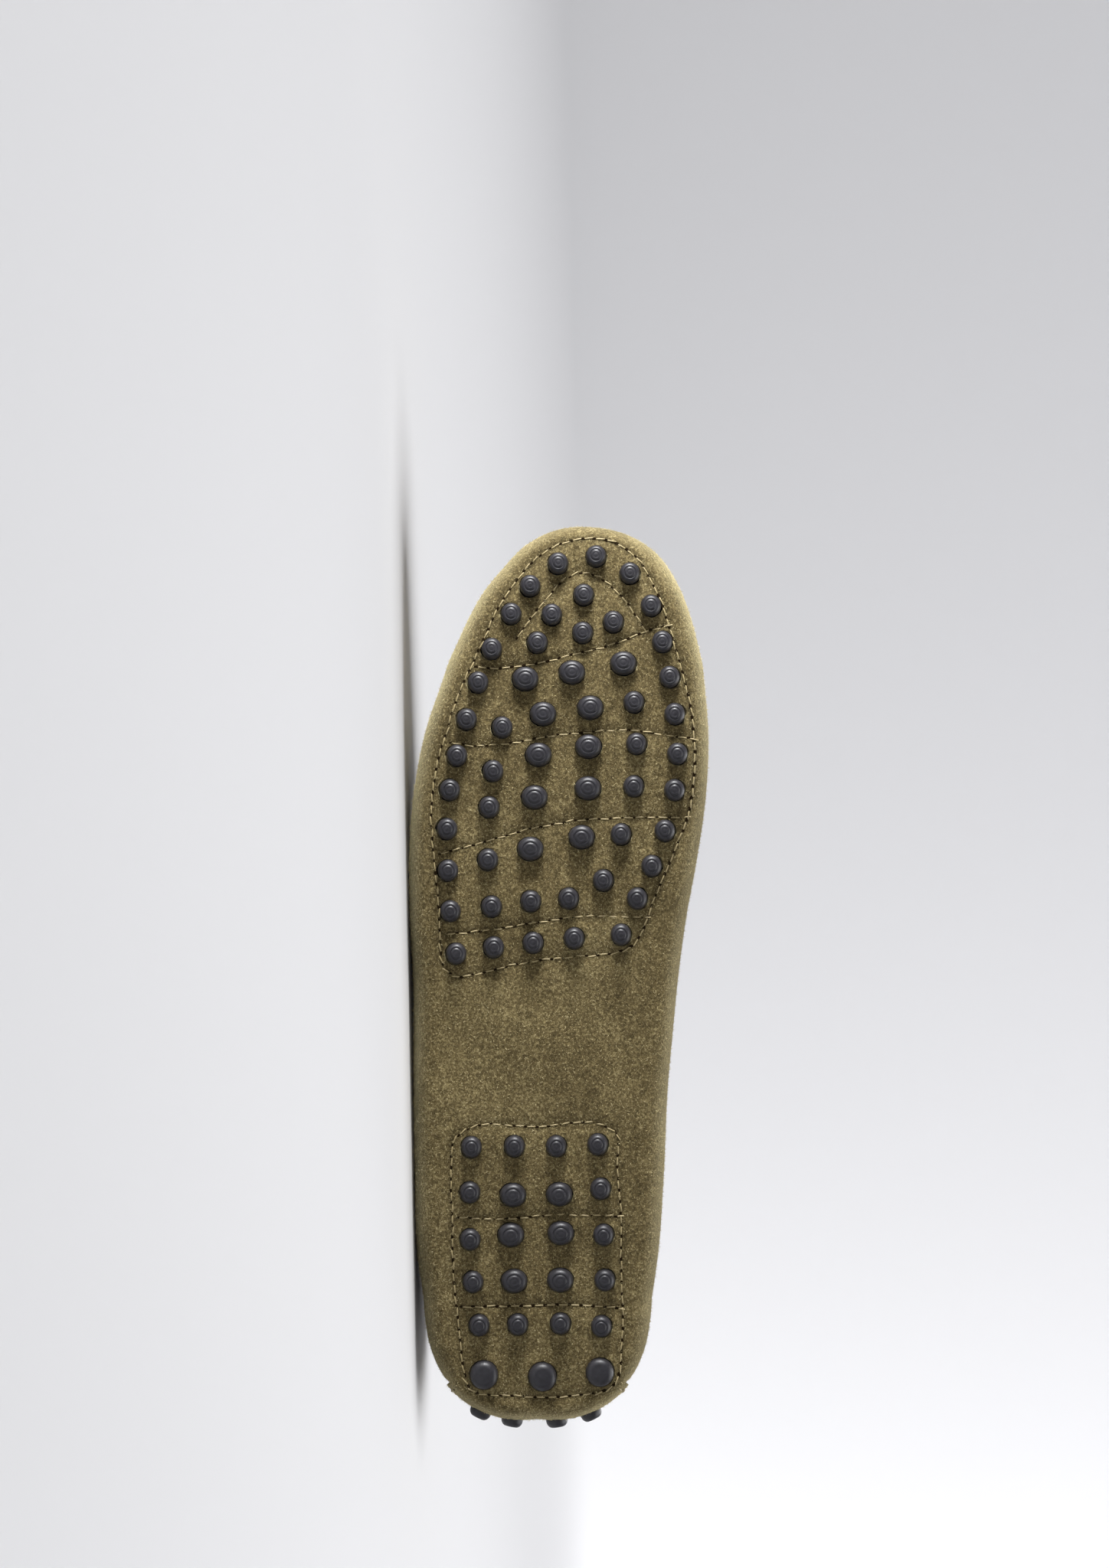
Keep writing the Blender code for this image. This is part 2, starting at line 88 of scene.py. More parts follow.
# %% [markdown]
# ## The last
#
# The last is the foot-shaped form that a shoe is made on. Short tables hold its sections,
# the same as in the part's source, and a smooth curve through each column gives every
# section between them. Working with arrays makes the fine surfaces quick.

# %% Tables of the last
EDGE_ROLL = 0.0065
EDGE_HEIGHT = 0.012
WALL_CURVE = 2.5
TOE_SPRING = 0.006
SPRING_START = 0.700
HEEL_CENTRE = 0.132
TOE_CENTRE = 0.833
THROAT = 0.486
# Share of the length, then centre, reach, edge reach, edge height and crown
SIDES = np.array([
    (0.132, 0.000, 0.383, 0.292, 0.750, 0.000),
    (0.181, 0.000, 0.404, 0.318, 0.705, 0.000),
    (0.267, 0.005, 0.418, 0.344, 0.667, 0.000),
    (0.368, 0.010, 0.427, 0.354, 0.694, 0.000),
    (0.438, 0.020, 0.436, 0.335, 0.800, 1.000),
    (0.486, 0.026, 0.444, 0.315, 0.905, 1.000),
    (0.556, 0.034, 0.464, 0.323, 0.868, 0.950),
    (0.625, 0.052, 0.484, 0.349, 0.785, 0.860),
    (0.694, 0.074, 0.491, 0.359, 0.701, 0.765),
    (0.764, 0.097, 0.476, 0.350, 0.632, 0.680),
    (0.833, 0.123, 0.434, 0.318, 0.569, 0.604),
])
CENTRE, REACH, EDGE_REACH, EDGE_TOP, CROWN = 1, 2, 3, 4, 5
# Turn in degrees, then reach, edge reach and edge height
TOE = np.array([
    (-90, 0.434, 0.318, 0.569), (-75, 0.406, 0.296, 0.550), (-60, 0.402, 0.287, 0.530),
    (-47, 0.413, 0.290, 0.512), (-34, 0.431, 0.302, 0.500), (-20, 0.468, 0.332, 0.492),
    (-6, 0.494, 0.356, 0.490), (8, 0.503, 0.366, 0.490), (22, 0.505, 0.368, 0.494),
    (34, 0.494, 0.359, 0.502), (48, 0.464, 0.335, 0.515), (62, 0.438, 0.317, 0.533),
    (76, 0.427, 0.311, 0.552), (90, 0.434, 0.318, 0.569),
])
HEEL = np.array([
    (90, 0.383, 0.292, 0.750), (100, 0.384, 0.290, 0.756), (115, 0.396, 0.290, 0.766),
    (130, 0.409, 0.291, 0.774), (145, 0.414, 0.293, 0.778), (162, 0.408, 0.291, 0.780),
    (180, 0.393, 0.285, 0.780),
])
# Share of the length, then half width, edge height and crown of the tongue
TONGUE = np.array([
    (0.392, 0.094, 1.060, 1.085), (0.406, 0.167, 1.010, 1.078),
    (0.430, 0.219, 0.955, 1.060), (0.458, 0.252, 0.915, 1.030),
])


def column(rows, number, at):
    """One column of a table at the places asked for, on a smooth curve through its rows."""
    keys, values = rows[:, 0], rows[:, number]
    slopes = np.gradient(values, keys)
    i = np.clip(np.searchsorted(keys, at) - 1, 0, len(keys) - 2)
    span = keys[i + 1] - keys[i]
    t = (at - keys[i]) / span
    start = (1 + 2 * t) * (1 - t) ** 2 * values[i] + t * (1 - t) ** 2 * span * slopes[i]
    end = t * t * (3 - 2 * t) * values[i + 1] - t * t * (1 - t) * span * slopes[i + 1]
    return start + end


print("half width at the ball in mm:", round(1000 * BALL_WIDTH * column(SIDES, REACH, 0.65), 1))


# %% Meridians: the sections in their order round the shoe
class Meridians:
    """Sections of the shoe side by side: where each stands, where it heads, how far."""

    def __init__(self, x, turn, rows=None, keys=None):
        self.x, self.turn = x, turn
        source, at = (SIDES, x) if rows is None else (rows, keys)
        shift = 0 if rows is None else -1
        self.foot = np.stack([x * SHOE_LENGTH, column(SIDES, CENTRE, x) * BALL_WIDTH], 1)
        angle = np.radians(turn)
        self.out = np.stack([np.cos(angle), np.sin(angle)], 1)
        self.reach = column(source, REACH + shift, at) * BALL_WIDTH
        self.edge_reach = column(source, EDGE_REACH + shift, at) * BALL_WIDTH
        self.edge_top = column(source, EDGE_TOP + shift, at) * INSTEP_HEIGHT
        self.crown = column(SIDES, CROWN, x) * INSTEP_HEIGHT

    def joined(self, *others):
        """These sections and the others after them, as one walk."""
        for name in ("x", "turn", "foot", "out", "reach", "edge_reach", "edge_top", "crown"):
            setattr(self, name, np.concatenate([getattr(m, name) for m in (self, *others)]))
        return self


def side_walk(x, side):
    return Meridians(x, np.full(len(x), 90.0 * side))


def toe_walk(turns):
    return Meridians(np.full(len(turns), TOE_CENTRE), turns, TOE, turns)


def heel_walk(turns):
    """Sections round the heel; turns may run past 180 degrees."""
    return Meridians(np.full(len(turns), HEEL_CENTRE), turns, HEEL, 180 - np.abs(180 - turns))


def walk(x_back, x_front, side_steps, toe_steps, heel_steps):
    """Up the inner side, round the toe, down the outer side and round the heel."""
    x = np.linspace(x_back, x_front, side_steps + 1)
    parts = [toe_walk(np.linspace(90, -90, toe_steps + 1)[1:-1]), side_walk(x[::-1], -1)]
    if heel_steps:
        parts.append(heel_walk(np.linspace(270, 90, heel_steps + 1)[1:-1]))
    return side_walk(x, 1).joined(*parts)


def section(m, step, depth=0.0):
    """Distance and height on each meridian at each step, and the way out of the suede.
    step runs from 0 to 1 under the sole, to 2 round its edge and to 3 up the wall."""
    step = np.broadcast_to(step, (len(m.x), np.shape(step)[-1]))
    reach, flat = m.reach[:, None], m.reach[:, None] - EDGE_ROLL
    lean, rise = (m.reach - m.edge_reach)[:, None], (m.edge_top - EDGE_HEIGHT)[:, None]
    angle = np.clip(step - 1, 0, 1) * np.pi / 2
    share = np.clip(step - 2, 0, None)
    distance = np.clip(step, 0, 1) * flat + EDGE_ROLL * np.sin(angle) - lean * share**WALL_CURVE
    height = EDGE_HEIGHT * (1 - np.cos(angle)) + rise * share
    along = np.where(share > 0, rise, np.sin(angle) / EDGE_ROLL)
    bend = WALL_CURVE * lean * share ** (WALL_CURVE - 1)
    upward = np.where(share > 0, bend, -np.cos(angle) / EDGE_HEIGHT)
    size = np.hypot(along, upward)
    along, upward = along / size, upward / size
    return distance - along * depth, height - upward * depth


def spring(points):
    """Bends points of the flat-soled shoe up with the toe."""
    start = SPRING_START * SHOE_LENGTH
    run = SHOE_LENGTH - start
    past = np.clip(points[..., 0] - start, 0, None) / run
    slope = np.arctan(2 * TOE_SPRING * past / run)
    x = points[..., 0] - points[..., 2] * np.sin(slope)
    z = TOE_SPRING * past**2 + points[..., 2] * np.cos(slope)
    return np.stack([x, points[..., 1], z], -1)


def plan(m, distance):
    """Where a distance on each meridian lies, seen from above."""
    return m.foot[:, None, :] + m.out[:, None, :] * distance[..., None]


def place(m, distance, height):
    """Points of the standing shoe, one row for each meridian."""
    flat = plan(m, distance)
    return spring(np.concatenate([flat, height[..., None]], -1))


def lay(points):
    """Points of the standing shoe, laid down as the model lies."""
    return points @ TURN.T + SHIFT


around = walk(HEEL_CENTRE, TOE_CENTRE, 12, 12, 12)
outline = lay(place(around, *section(around, np.array([2.0]))))[:, 0]
print("outline in mm:", (1000 * outline.min(0)).round(1), (1000 * outline.max(0)).round(1))

# %% [markdown]
# ## Helpers for meshes, nodes and colours
#
# A sheet is a grid of points, one row for each meridian. One function builds it and
# closes the line under the foot where both sides meet. A second one adds a node of any
# kind, with its settings and links, to a material or to a Geometry Nodes tree.

# %% Sheets
def sheet(name, points, closed, values=None):
    """A mesh over a grid of points. values: name of a point attribute to its numbers."""
    rows, steps = points.shape[:2]
    index = np.arange(rows * steps).reshape(rows, steps)
    after = np.roll(index, -1, 0) if closed else index[1:]
    here = index if closed else index[:-1]
    quads = np.stack([here[:, :-1], here[:, 1:], after[:, 1:], after[:, :-1]], -1)
    mesh = bpy.data.meshes.new(name)
    mesh.from_pydata(points.reshape(-1, 3).tolist(), [], quads.reshape(-1, 4).tolist())
    for label, numbers in (values or {}).items():
        layer = mesh.attributes.new(label, "FLOAT", "POINT")
        layer.data.foreach_set("value", np.asarray(numbers, np.float32).ravel())
    bm = bmesh.new()
    bm.from_mesh(mesh)
    bmesh.ops.remove_doubles(bm, verts=bm.verts, dist=1e-6)
    bm.to_mesh(mesh)
    bm.free()
    mesh.shade_smooth()
    return mesh


def new_object(name, mesh, *materials):
    piece = bpy.data.objects.new(name, mesh)
    bpy.context.scene.collection.objects.link(piece)
    for material in materials:
        mesh.materials.append(material)
    return piece


def coordinates(mesh):
    points = np.empty(len(mesh.vertices) * 3, np.float32)
    mesh.vertices.foreach_get("co", points)
    return points.reshape(-1, 3).astype(float)


def baked(piece):
    """Turns what the modifiers make of a piece into its plain mesh."""
    seen = piece.evaluated_get(bpy.context.evaluated_depsgraph_get())
    mesh = bpy.data.meshes.new_from_object(seen)
    piece.modifiers.clear()
    piece.data = mesh
    return piece


def add_wall(piece, thickness, inner=0, rim=0):
    """Gives a sheet its thickness, away from its faces, with other materials inside."""
    wall = piece.modifiers.new("wall", "SOLIDIFY")
    wall.thickness = thickness
    wall.offset = -1
    wall.use_even_offset = True
    wall.use_quality_normals = True
    wall.material_offset = inner
    wall.material_offset_rim = rim
    return piece


# %% Nodes and colours
def add_node(tree, kind, settings=None, **inputs):
    """A node with its settings; inputs named in_0, in_1 or by their socket's words."""
    node = tree.nodes.new(kind)
    for name, value in (settings or {}).items():
        setattr(node, name, value)
    for name, value in inputs.items():
        plain = name.replace("_", " ")
        socket = node.inputs[int(name[3:])] if name.startswith("in_") else node.inputs[plain]
        if isinstance(value, bpy.types.NodeSocket):
            tree.links.new(value, socket)
        else:
            socket.default_value = value
    return node


def linear(code):
    """An sRGB hex colour as linear red, green, blue and alpha."""
    parts = [int(code[i:i + 2], 16) / 255 for i in (1, 3, 5)]
    return (*[c / 12.92 if c <= 0.04045 else ((c + 0.055) / 1.055) ** 2.4 for c in parts], 1)


def new_material(name):
    material = bpy.data.materials.new(name)
    material.use_nodes = True
    tree = material.node_tree
    shader = tree.nodes["Principled BSDF"]
    return material, tree, shader


MM = 0.001
print("helpers ready")

# %% [markdown]
# ## Suede
#
# Suede is the flesh side of a hide, buffed until its fibres stand up as a short nap. It
# has no gloss: light is caught by the fibres, so it looks paler where the eye grazes it
# (sheen) and blotchy where the nap was stroked another way. The grain seen from arm's
# length is clumps of fibres, 0.4 to 0.8 mm across, darker in between.

# %% Suede material
SUEDE_DARK = "#292211"
SUEDE_MID = "#564a2f"
SUEDE_LIGHT = "#978a62"
# Sizes in mm: a single strand, a clump of strands, a fleck of clumps, a stroked patch
STRAND, CLUMP, FLECK, PATCH = 0.38, 0.80, 3.2, 30.0
STRAND_TURNS = (0.6, -0.9)
STRAND_STRETCH = (1.0, 0.30, 1.0)


def noise(tree, where, size, detail, roughness=0.6, distortion=0.0):
    """Noise whose lumps are about size mm across."""
    return add_node(
        tree, "ShaderNodeTexNoise", Vector=where, Scale=1 / (size * MM), Detail=detail,
        Roughness=roughness, Distortion=distortion,
    ).outputs["Fac"]


def weighted(tree, value, weight, rest):
    return add_node(tree, "ShaderNodeMath", {"operation": "MULTIPLY_ADD"},
                    in_0=value, in_1=weight, in_2=rest).outputs[0]


def suede_material(name, dark, mid, light, shade_attribute=True):
    material, tree, shader = new_material(name)
    place_in = add_node(tree, "ShaderNodeTexCoord").outputs["Object"]
    strands = [
        noise(tree, add_node(tree, "ShaderNodeMapping", Vector=place_in,
                             Rotation=(turn, turn, turn), Scale=STRAND_STRETCH,
                             ).outputs["Vector"], STRAND * 0.5, 2.0, 0.7, 0.5)
        for turn in STRAND_TURNS
    ]
    lie = add_node(tree, "ShaderNodeMapRange", Value=noise(tree, place_in, 1.8, 1.0),
                   From_Min=0.42, From_Max=0.58).outputs["Result"]
    strand = add_node(tree, "ShaderNodeMix", in_0=lie, in_2=strands[0], in_3=strands[1]).outputs[0]
    clump = noise(tree, place_in, CLUMP, 3.0, 0.75, 0.4)
    grain = weighted(tree, strand, 0.9, clump)
    tone = weighted(tree, noise(tree, place_in, PATCH, 3.0, 0.6, 0.6), 0.26, grain)
    tone = weighted(tree, noise(tree, place_in, FLECK, 2.0), 0.24, tone)
    ramp = add_node(tree, "ShaderNodeValToRGB", Fac=add_node(
        tree, "ShaderNodeMapRange", Value=tone, From_Min=0.93, From_Max=1.49,
    ).outputs["Result"])
    ramp.color_ramp.elements[0].color = linear(dark)
    ramp.color_ramp.elements[1].color = linear(light)
    ramp.color_ramp.elements.new(0.5).color = linear(mid)
    colour = ramp.outputs["Color"]
    # Painted shade: the shade attribute darkens the suede toward #5f5540 along the stitch grooves.
    if shade_attribute:
        shade = add_node(tree, "ShaderNodeAttribute", {"attribute_name": "shade"})
        colour = add_node(
            tree, "ShaderNodeMix", {"data_type": "RGBA", "blend_type": "MULTIPLY"},
            in_0=shade.outputs["Fac"], in_6=colour, in_7=linear("#5f5540"),
        ).outputs[2]
    bump = add_node(tree, "ShaderNodeBump", Strength=1.0, Distance=0.30 * MM, Height=grain)
    tree.links.new(colour, shader.inputs["Base Color"])
    tree.links.new(bump.outputs["Normal"], shader.inputs["Normal"])
    shader.inputs["Roughness"].default_value = 0.92
    shader.inputs["Specular IOR Level"].default_value = 0.10
    shader.inputs["Sheen Weight"].default_value = 1.0
    shader.inputs["Sheen Roughness"].default_value = 0.40
    shader.inputs["Sheen Tint"].default_value = linear("#cfc59c")
    return material


suede = suede_material("khaki_suede", SUEDE_DARK, SUEDE_MID, SUEDE_LIGHT)
cut_edge = suede_material("cut_suede_edge", "#3a3220", "#574c34", "#7d7050", False)
print("suede made:", suede.name, cut_edge.name)

# %% [markdown]
# ## Rubber, leather and thread
#
# The studs are moulded rubber, dyed through: dark charcoal with a satin skin that gives
# one soft, bright arc per stud. The inside is lined with smooth tan leather. The thread
# is a thick waxed polyester, paler than the suede; its palest flecks are painted glints.

# %% Rubber, leather and thread materials
def rubber_material():
    material, tree, shader = new_material("moulded_charcoal_rubber")
    place_in = add_node(tree, "ShaderNodeTexCoord").outputs["Object"]
    dust = add_node(tree, "ShaderNodeTexNoise", Vector=place_in, Scale=1 / (1.4 * MM),
                    Detail=4.0, Roughness=0.7).outputs["Fac"]
    skin = add_node(tree, "ShaderNodeTexNoise", Vector=place_in, Scale=1 / (0.12 * MM),
                    Detail=2.0).outputs["Fac"]
    ramp = add_node(tree, "ShaderNodeValToRGB", Fac=dust)
    ramp.color_ramp.elements[0].position = 0.30
    ramp.color_ramp.elements[0].color = linear("#19181c")
    ramp.color_ramp.elements[1].position = 0.80
    ramp.color_ramp.elements[1].color = linear("#29282d")
    rough = add_node(tree, "ShaderNodeMapRange", Value=dust, To_Min=0.34, To_Max=0.52)
    bump = add_node(tree, "ShaderNodeBump", Strength=0.25, Distance=0.05 * MM, Height=skin)
    tree.links.new(ramp.outputs["Color"], shader.inputs["Base Color"])
    tree.links.new(rough.outputs["Result"], shader.inputs["Roughness"])
    tree.links.new(bump.outputs["Normal"], shader.inputs["Normal"])
    shader.inputs["IOR"].default_value = 1.52
    shader.inputs["Specular IOR Level"].default_value = 0.34
    return material


def leather_material(name, dark, light, roughness):
    """Smooth leather: fine pores in cells under 1 mm, and a slow change of tone."""
    material, tree, shader = new_material(name)
    place_in = add_node(tree, "ShaderNodeTexCoord").outputs["Object"]
    pores = add_node(tree, "ShaderNodeTexVoronoi", Vector=place_in, Scale=1 / (0.9 * MM),
                     ).outputs["Distance"]
    tone = weighted(tree, pores, -0.25, noise(tree, place_in, 14.0, 5.0))
    ramp = add_node(tree, "ShaderNodeValToRGB", Fac=add_node(
        tree, "ShaderNodeMapRange", Value=tone, From_Min=0.15, From_Max=0.60).outputs["Result"])
    ramp.color_ramp.elements[0].color = linear(dark)
    ramp.color_ramp.elements[1].color = linear(light)
    bump = add_node(tree, "ShaderNodeBump", Strength=0.45, Distance=0.10 * MM, Height=pores)
    tree.links.new(ramp.outputs["Color"], shader.inputs["Base Color"])
    tree.links.new(bump.outputs["Normal"], shader.inputs["Normal"])
    shader.inputs["Roughness"].default_value = roughness
    return material


def thread_material():
    material, tree, shader = new_material("waxed_tan_thread")
    place_in = add_node(tree, "ShaderNodeTexCoord").outputs["Object"]
    twist = add_node(tree, "ShaderNodeTexNoise", Vector=place_in, Scale=1 / (0.35 * MM),
                     Detail=2.0).outputs["Fac"]
    # The pale end of this ramp is partly painted glint on the thread's twist; the rest is the thread's own
    # tan.
    ramp = add_node(tree, "ShaderNodeValToRGB", Fac=twist)
    ramp.color_ramp.elements[0].color = linear("#4b4029")
    ramp.color_ramp.elements[1].color = linear("#b9a879")
    bump = add_node(tree, "ShaderNodeBump", Strength=0.6, Distance=0.1 * MM, Height=twist)
    tree.links.new(ramp.outputs["Color"], shader.inputs["Base Color"])
    tree.links.new(bump.outputs["Normal"], shader.inputs["Normal"])
    shader.inputs["Roughness"].default_value = 0.55
    return material


def needle_hole_material():
    """Painted shade for a punched needle hole, where hardly any light comes back."""
    material, tree, shader = new_material("needle_hole_dark")
    place_in = add_node(tree, "ShaderNodeTexCoord").outputs["Object"]
    ramp = add_node(tree, "ShaderNodeValToRGB", Fac=noise(tree, place_in, 0.3, 2.0))
    ramp.color_ramp.elements[0].color = linear("#0f0b06")
    ramp.color_ramp.elements[1].color = linear("#241b10")
    tree.links.new(ramp.outputs["Color"], shader.inputs["Base Color"])
    shader.inputs["Roughness"].default_value = 1.0
    shader.inputs["Specular IOR Level"].default_value = 0.0
    return material


rubber = rubber_material()
lining = leather_material("tan_lining_leather", "#8a7350", "#b29a70", 0.50)
binding_leather = leather_material("olive_binding_leather", "#4c4228", "#6e6240", 0.55)
thread, needle_hole_shade = thread_material(), needle_hole_material()

# %% [markdown]
# ## The stud chart
#
# The studs are a small repeat that the maker charts by hand: a ring round the forefoot,
# rows of four across the ball, and rows under and up the heel. Every stud is placed by a
# frame whose Z axis goes into the shoe, as in the part's source.

# %% Chart of the studs
SUEDE = 0.0018
GAP = 0.0003
RUBBER = 0.0015
INSOLE = 0.0025
SMALL, LARGE, EDGE = (0.0066, 0.0070), (0.0084, 0.0076), (0.0090, 0.0092)
INNER_RING = [
    (0.959, 0.195), (0.940, 0.307), (0.904, 0.378), (0.864, 0.415), (0.825, 0.439),
    (0.784, 0.456), (0.740, 0.465), (0.700, 0.455), (0.655, 0.423), (0.616, 0.379),
    (0.580, 0.331), (0.540, 0.277),
]
OUTER_RING = [
    (0.951, 0.068), (0.926, -0.025), (0.895, -0.088), (0.856, -0.153), (0.819, -0.198),
    (0.778, -0.236), (0.738, -0.268), (0.700, -0.292), (0.657, -0.301), (0.611, -0.298),
    (0.566, -0.290), (0.519, -0.271),
]
INSIDE_SMALL = [
    (0.526, -0.146), (0.531, -0.015), (0.536, 0.121),
    (0.916, 0.153), (0.894, 0.047), (0.886, 0.252), (0.874, 0.150), (0.863, -0.001),
    (0.797, 0.320), (0.769, -0.118), (0.751, 0.328), (0.721, -0.148),
    (0.704, 0.319), (0.681, -0.161), (0.651, 0.277), (0.623, -0.165),
    (0.600, 0.218), (0.580, 0.103), (0.577, -0.023), (0.571, -0.153),
]
INSIDE_LARGE = [
    (0.840, 0.285), (0.830, 0.114), (0.823, -0.041),
    (0.791, 0.175), (0.784, 0.018), (0.748, 0.169), (0.739, 0.003),
    (0.702, 0.167), (0.692, -0.010), (0.648, 0.146), (0.635, -0.024),
]
HEEL_SMALL = [
    (0.308, 0.200), (0.306, 0.062), (0.306, -0.077), (0.305, -0.220),
    (0.259, 0.209), (0.255, -0.225), (0.208, 0.219), (0.203, -0.224),
    (0.158, 0.223), (0.156, -0.215),
    (0.107, 0.212), (0.110, 0.076), (0.109, -0.066), (0.108, -0.194),
]
HEEL_LARGE = [(0.253, 0.072), (0.252, -0.082), (0.210, 0.077), (0.208, -0.089),
              (0.158, 0.075), (0.157, -0.078)]
HEEL_EDGE = [(0.056, 0.207), (0.051, 0.016), (0.053, -0.178)]
CLIMBING = [
    (1.93, -25), (1.93, -9), (1.93, 12), (1.93, 27),
    (2.28, -17), (2.28, 1), (2.28, 18), (2.58, -9), (2.58, 10),
]


def sole_frame(x, y):
    """Frame of a stud under the sole: X along the shoe, Z into it."""
    flat = np.array([x * SHOE_LENGTH, y * BALL_WIDTH, 0.0])
    base, above = spring(flat), spring(flat + (0, 0, MM))
    inwards = Vector(above - base).normalized()
    along = Vector((0, 1, 0)).cross(inwards)
    turn = Matrix((along, (0, 1, 0), inwards)).transposed()
    return Matrix.Translation(base) @ turn.to_4x4()


def climbing_frame(step, turn):
    """Frame of a stud up the back of the heel."""
    m = heel_walk(np.array([180.0 + turn]))
    base = place(m, *section(m, np.array([step])))[0, 0]
    within = place(m, *section(m, np.array([step]), SUEDE))[0, 0]
    inwards = Vector(within - base)
    return Matrix.Translation(base) @ inwards.to_track_quat("Z", "Y").to_matrix().to_4x4()


def framed(points, size):
    return [(sole_frame(x, y), size) for x, y in points]


forefoot_studs = framed(INNER_RING + OUTER_RING + INSIDE_SMALL, SMALL) + framed(INSIDE_LARGE, LARGE)
heel_studs = framed(HEEL_SMALL, SMALL) + framed(HEEL_LARGE, LARGE) + framed(HEEL_EDGE, EDGE)
back_studs = [(climbing_frame(step, turn), SMALL) for step, turn in CLIMBING]
print("studs:", len(forefoot_studs), len(heel_studs), len(back_studs))

# %% [markdown]
# ## Where the sole is sewn
#
# The maker sews round each group of studs, through the suede and the rubber plate behind
# it, and then across. The lines are charted in millimetres from the heel and from the
# last's own line, a few points each, with a smooth curve through them.

# %% Seam lines
FOREFOOT_SEAM = [
    (282.9, 14.5), (281.6, 25.0), (276.3, 32.1), (270.3, 35.9), (264.4, 38.8), (255.5, 41.8),
    (244.1, 45.2), (230.7, 48.6), (219.5, 50.0), (213.5, 50.4), (203.8, 49.7), (193.3, 47.8),
    (183.6, 44.1), (174.6, 40.3), (165.7, 36.6), (158.0, 34.0), (152.4, 30.0), (150.2, 24.0),
    (148.9, 10.5), (147.0, -4.5), (143.3, -20.2), (142.7, -26.1), (145.5, -29.6),
    (152.2, -31.0), (166.4, -31.7), (181.4, -33.2), (192.6, -34.0), (202.0, -33.4),
    (211.2, -31.9), (219.5, -29.5), (229.2, -26.6), (243.4, -20.5), (251.6, -16.8),
    (259.8, -13.0), (268.8, -7.3), (276.3, -0.7), (281.0, 6.7),
]
TOE_ARCH = [
    (250.9, -6.7), (258.3, -1.5), (263.6, 3.0), (269.5, 8.2), (271.8, 13.4), (271.2, 17.9),
    (267.3, 23.9), (262.1, 28.8), (255.4, 33.2),
]
CROSS_SEAMS = [
    [(241.7, -19.6), (241.3, -15.7), (242.1, -4.5), (246.4, 14.2), (249.4, 25.4),
     (252.7, 33.6), (254.6, 40.0)],
    [(217.2, -27.6), (216.5, -19.4), (218.0, -4.5), (219.9, 6.0), (220.6, 14.2),
     (221.4, 28.4), (219.9, 40.3), (218.9, 48.2)],
    [(181.8, -31.4), (184.2, -22.0), (189.2, -4.5), (191.9, 8.2), (193.3, 25.4), (193.5, 45.8)],
    [(156.1, -29.4), (156.9, -20.2), (159.7, -1.5), (161.6, 10.5), (161.8, 24.0), (161.6, 33.6)],
]
HEEL_SEAM = [
    (93.8, -22.0), (94.4, 0.0), (95.2, 19.5), (93.2, 24.3), (81.3, 25.4), (66.4, 26.6),
    (44.2, 26.8), (32.2, 27.3), (22.4, 26.8), (15.1, 25.9), (11.2, 23.4), (9.6, 19.0),
    (8.6, 12.0), (8.0, 4.0), (8.4, -6.0), (8.8, -15.0), (10.4, -21.0), (15.5, -23.3),
    (24.2, -24.6), (33.7, -25.6), (46.1, -26.8), (64.9, -27.3), (79.8, -27.6), (90.8, -26.2),
]
HEEL_CROSS = [
    [(65.5, -25.5), (64.9, -12.0), (66.1, 1.5), (66.4, 14.2), (65.9, 25.0)],
    [(36.9, -24.4), (37.3, -4.5), (37.6, 10.5), (36.5, 25.4)],
]
SEAM_SPACING = 0.8 * MM


def smooth_line(points, closed):
    """A smooth curve through charted points in mm, as evenly spaced points in metres."""
    points = np.array(points, float) * MM
    if closed:
        points = np.concatenate([points, points[:1]])
    steps = np.concatenate([[0], np.cumsum(np.linalg.norm(np.diff(points, axis=0), axis=1))])
    ends = np.concatenate([points[-2:-1], points, points[1:2]]) if closed else points
    keys = np.concatenate([[steps[-2] - steps[-1]], steps, [steps[-1] + steps[1]]]) if closed else steps
    at = np.linspace(0, steps[-1], max(2, int(steps[-1] / SEAM_SPACING)))
    rows = np.column_stack([keys, ends])
    return np.stack([column(rows, 1, at), column(rows, 2, at)], 1)


sole_lines = [smooth_line(FOREFOOT_SEAM, True), smooth_line(HEEL_SEAM, True)]
sole_lines += [smooth_line(line, False) for line in (TOE_ARCH, *CROSS_SEAMS, *HEEL_CROSS)]
print("sewn length in mm:", round(sum(1000 * SEAM_SPACING * len(line) for line in sole_lines)))

# %% [markdown]
# ## How the suede lies over the studs
#
# The thread pulls the suede down into a soft groove, and it puffs up a little between the
# lines. Round each stud it is pressed out by the rubber. These are fractions of a
# millimetre, but the light from the toe shows them, so they go into the mesh.

# %% Relief of the sole
GROOVE_DEPTH, GROOVE_WIDTH = 0.50 * MM, 1.5 * MM
COLLAR_HEIGHT, COLLAR_WIDTH = 0.35 * MM, 1.6 * MM
WAVE_HEIGHT = 0.30 * MM
SEAM_POINTS = np.concatenate(sole_lines)
WAVES = np.random.default_rng(7).uniform(-1, 1, (9, 4))


def nearest(points, targets, block=4000):
    """Distance from each point in plan to the nearest target."""
    found = [
        np.sqrt(((points[i:i + block, None] - targets[None]) ** 2).sum(-1).min(1))
        for i in range(0, len(points), block)
    ]
    return np.concatenate(found)


def soft_waves(flat):
    """A slow unevenness of the hide, as a sum of a few long waves."""
    total = np.zeros(len(flat))
    for a, b, phase, size in WAVES:
        total += size * np.sin(flat[:, 0] * a * 150 + flat[:, 1] * b * 190 + phase * 9)
    return total / 2.5


def sole_relief(flat):
    """Height of the suede's relief under the sole, outwards positive."""
    seam = nearest(flat, SEAM_POINTS)
    relief = -GROOVE_DEPTH * np.exp(-(seam / GROOVE_WIDTH) ** 2)
    relief += WAVE_HEIGHT * soft_waves(flat)
    for stud, size in forefoot_studs + heel_studs:
        centre = np.array(stud.translation[:2])
        gap = np.linalg.norm((flat - centre) / (size[1] / 2, size[0] / 2), axis=1) - 1
        width = COLLAR_WIDTH / (size[0] / 2)
        relief += COLLAR_HEIGHT * np.exp(-(np.clip(gap, 0, None) / width) ** 2)
    return relief, seam


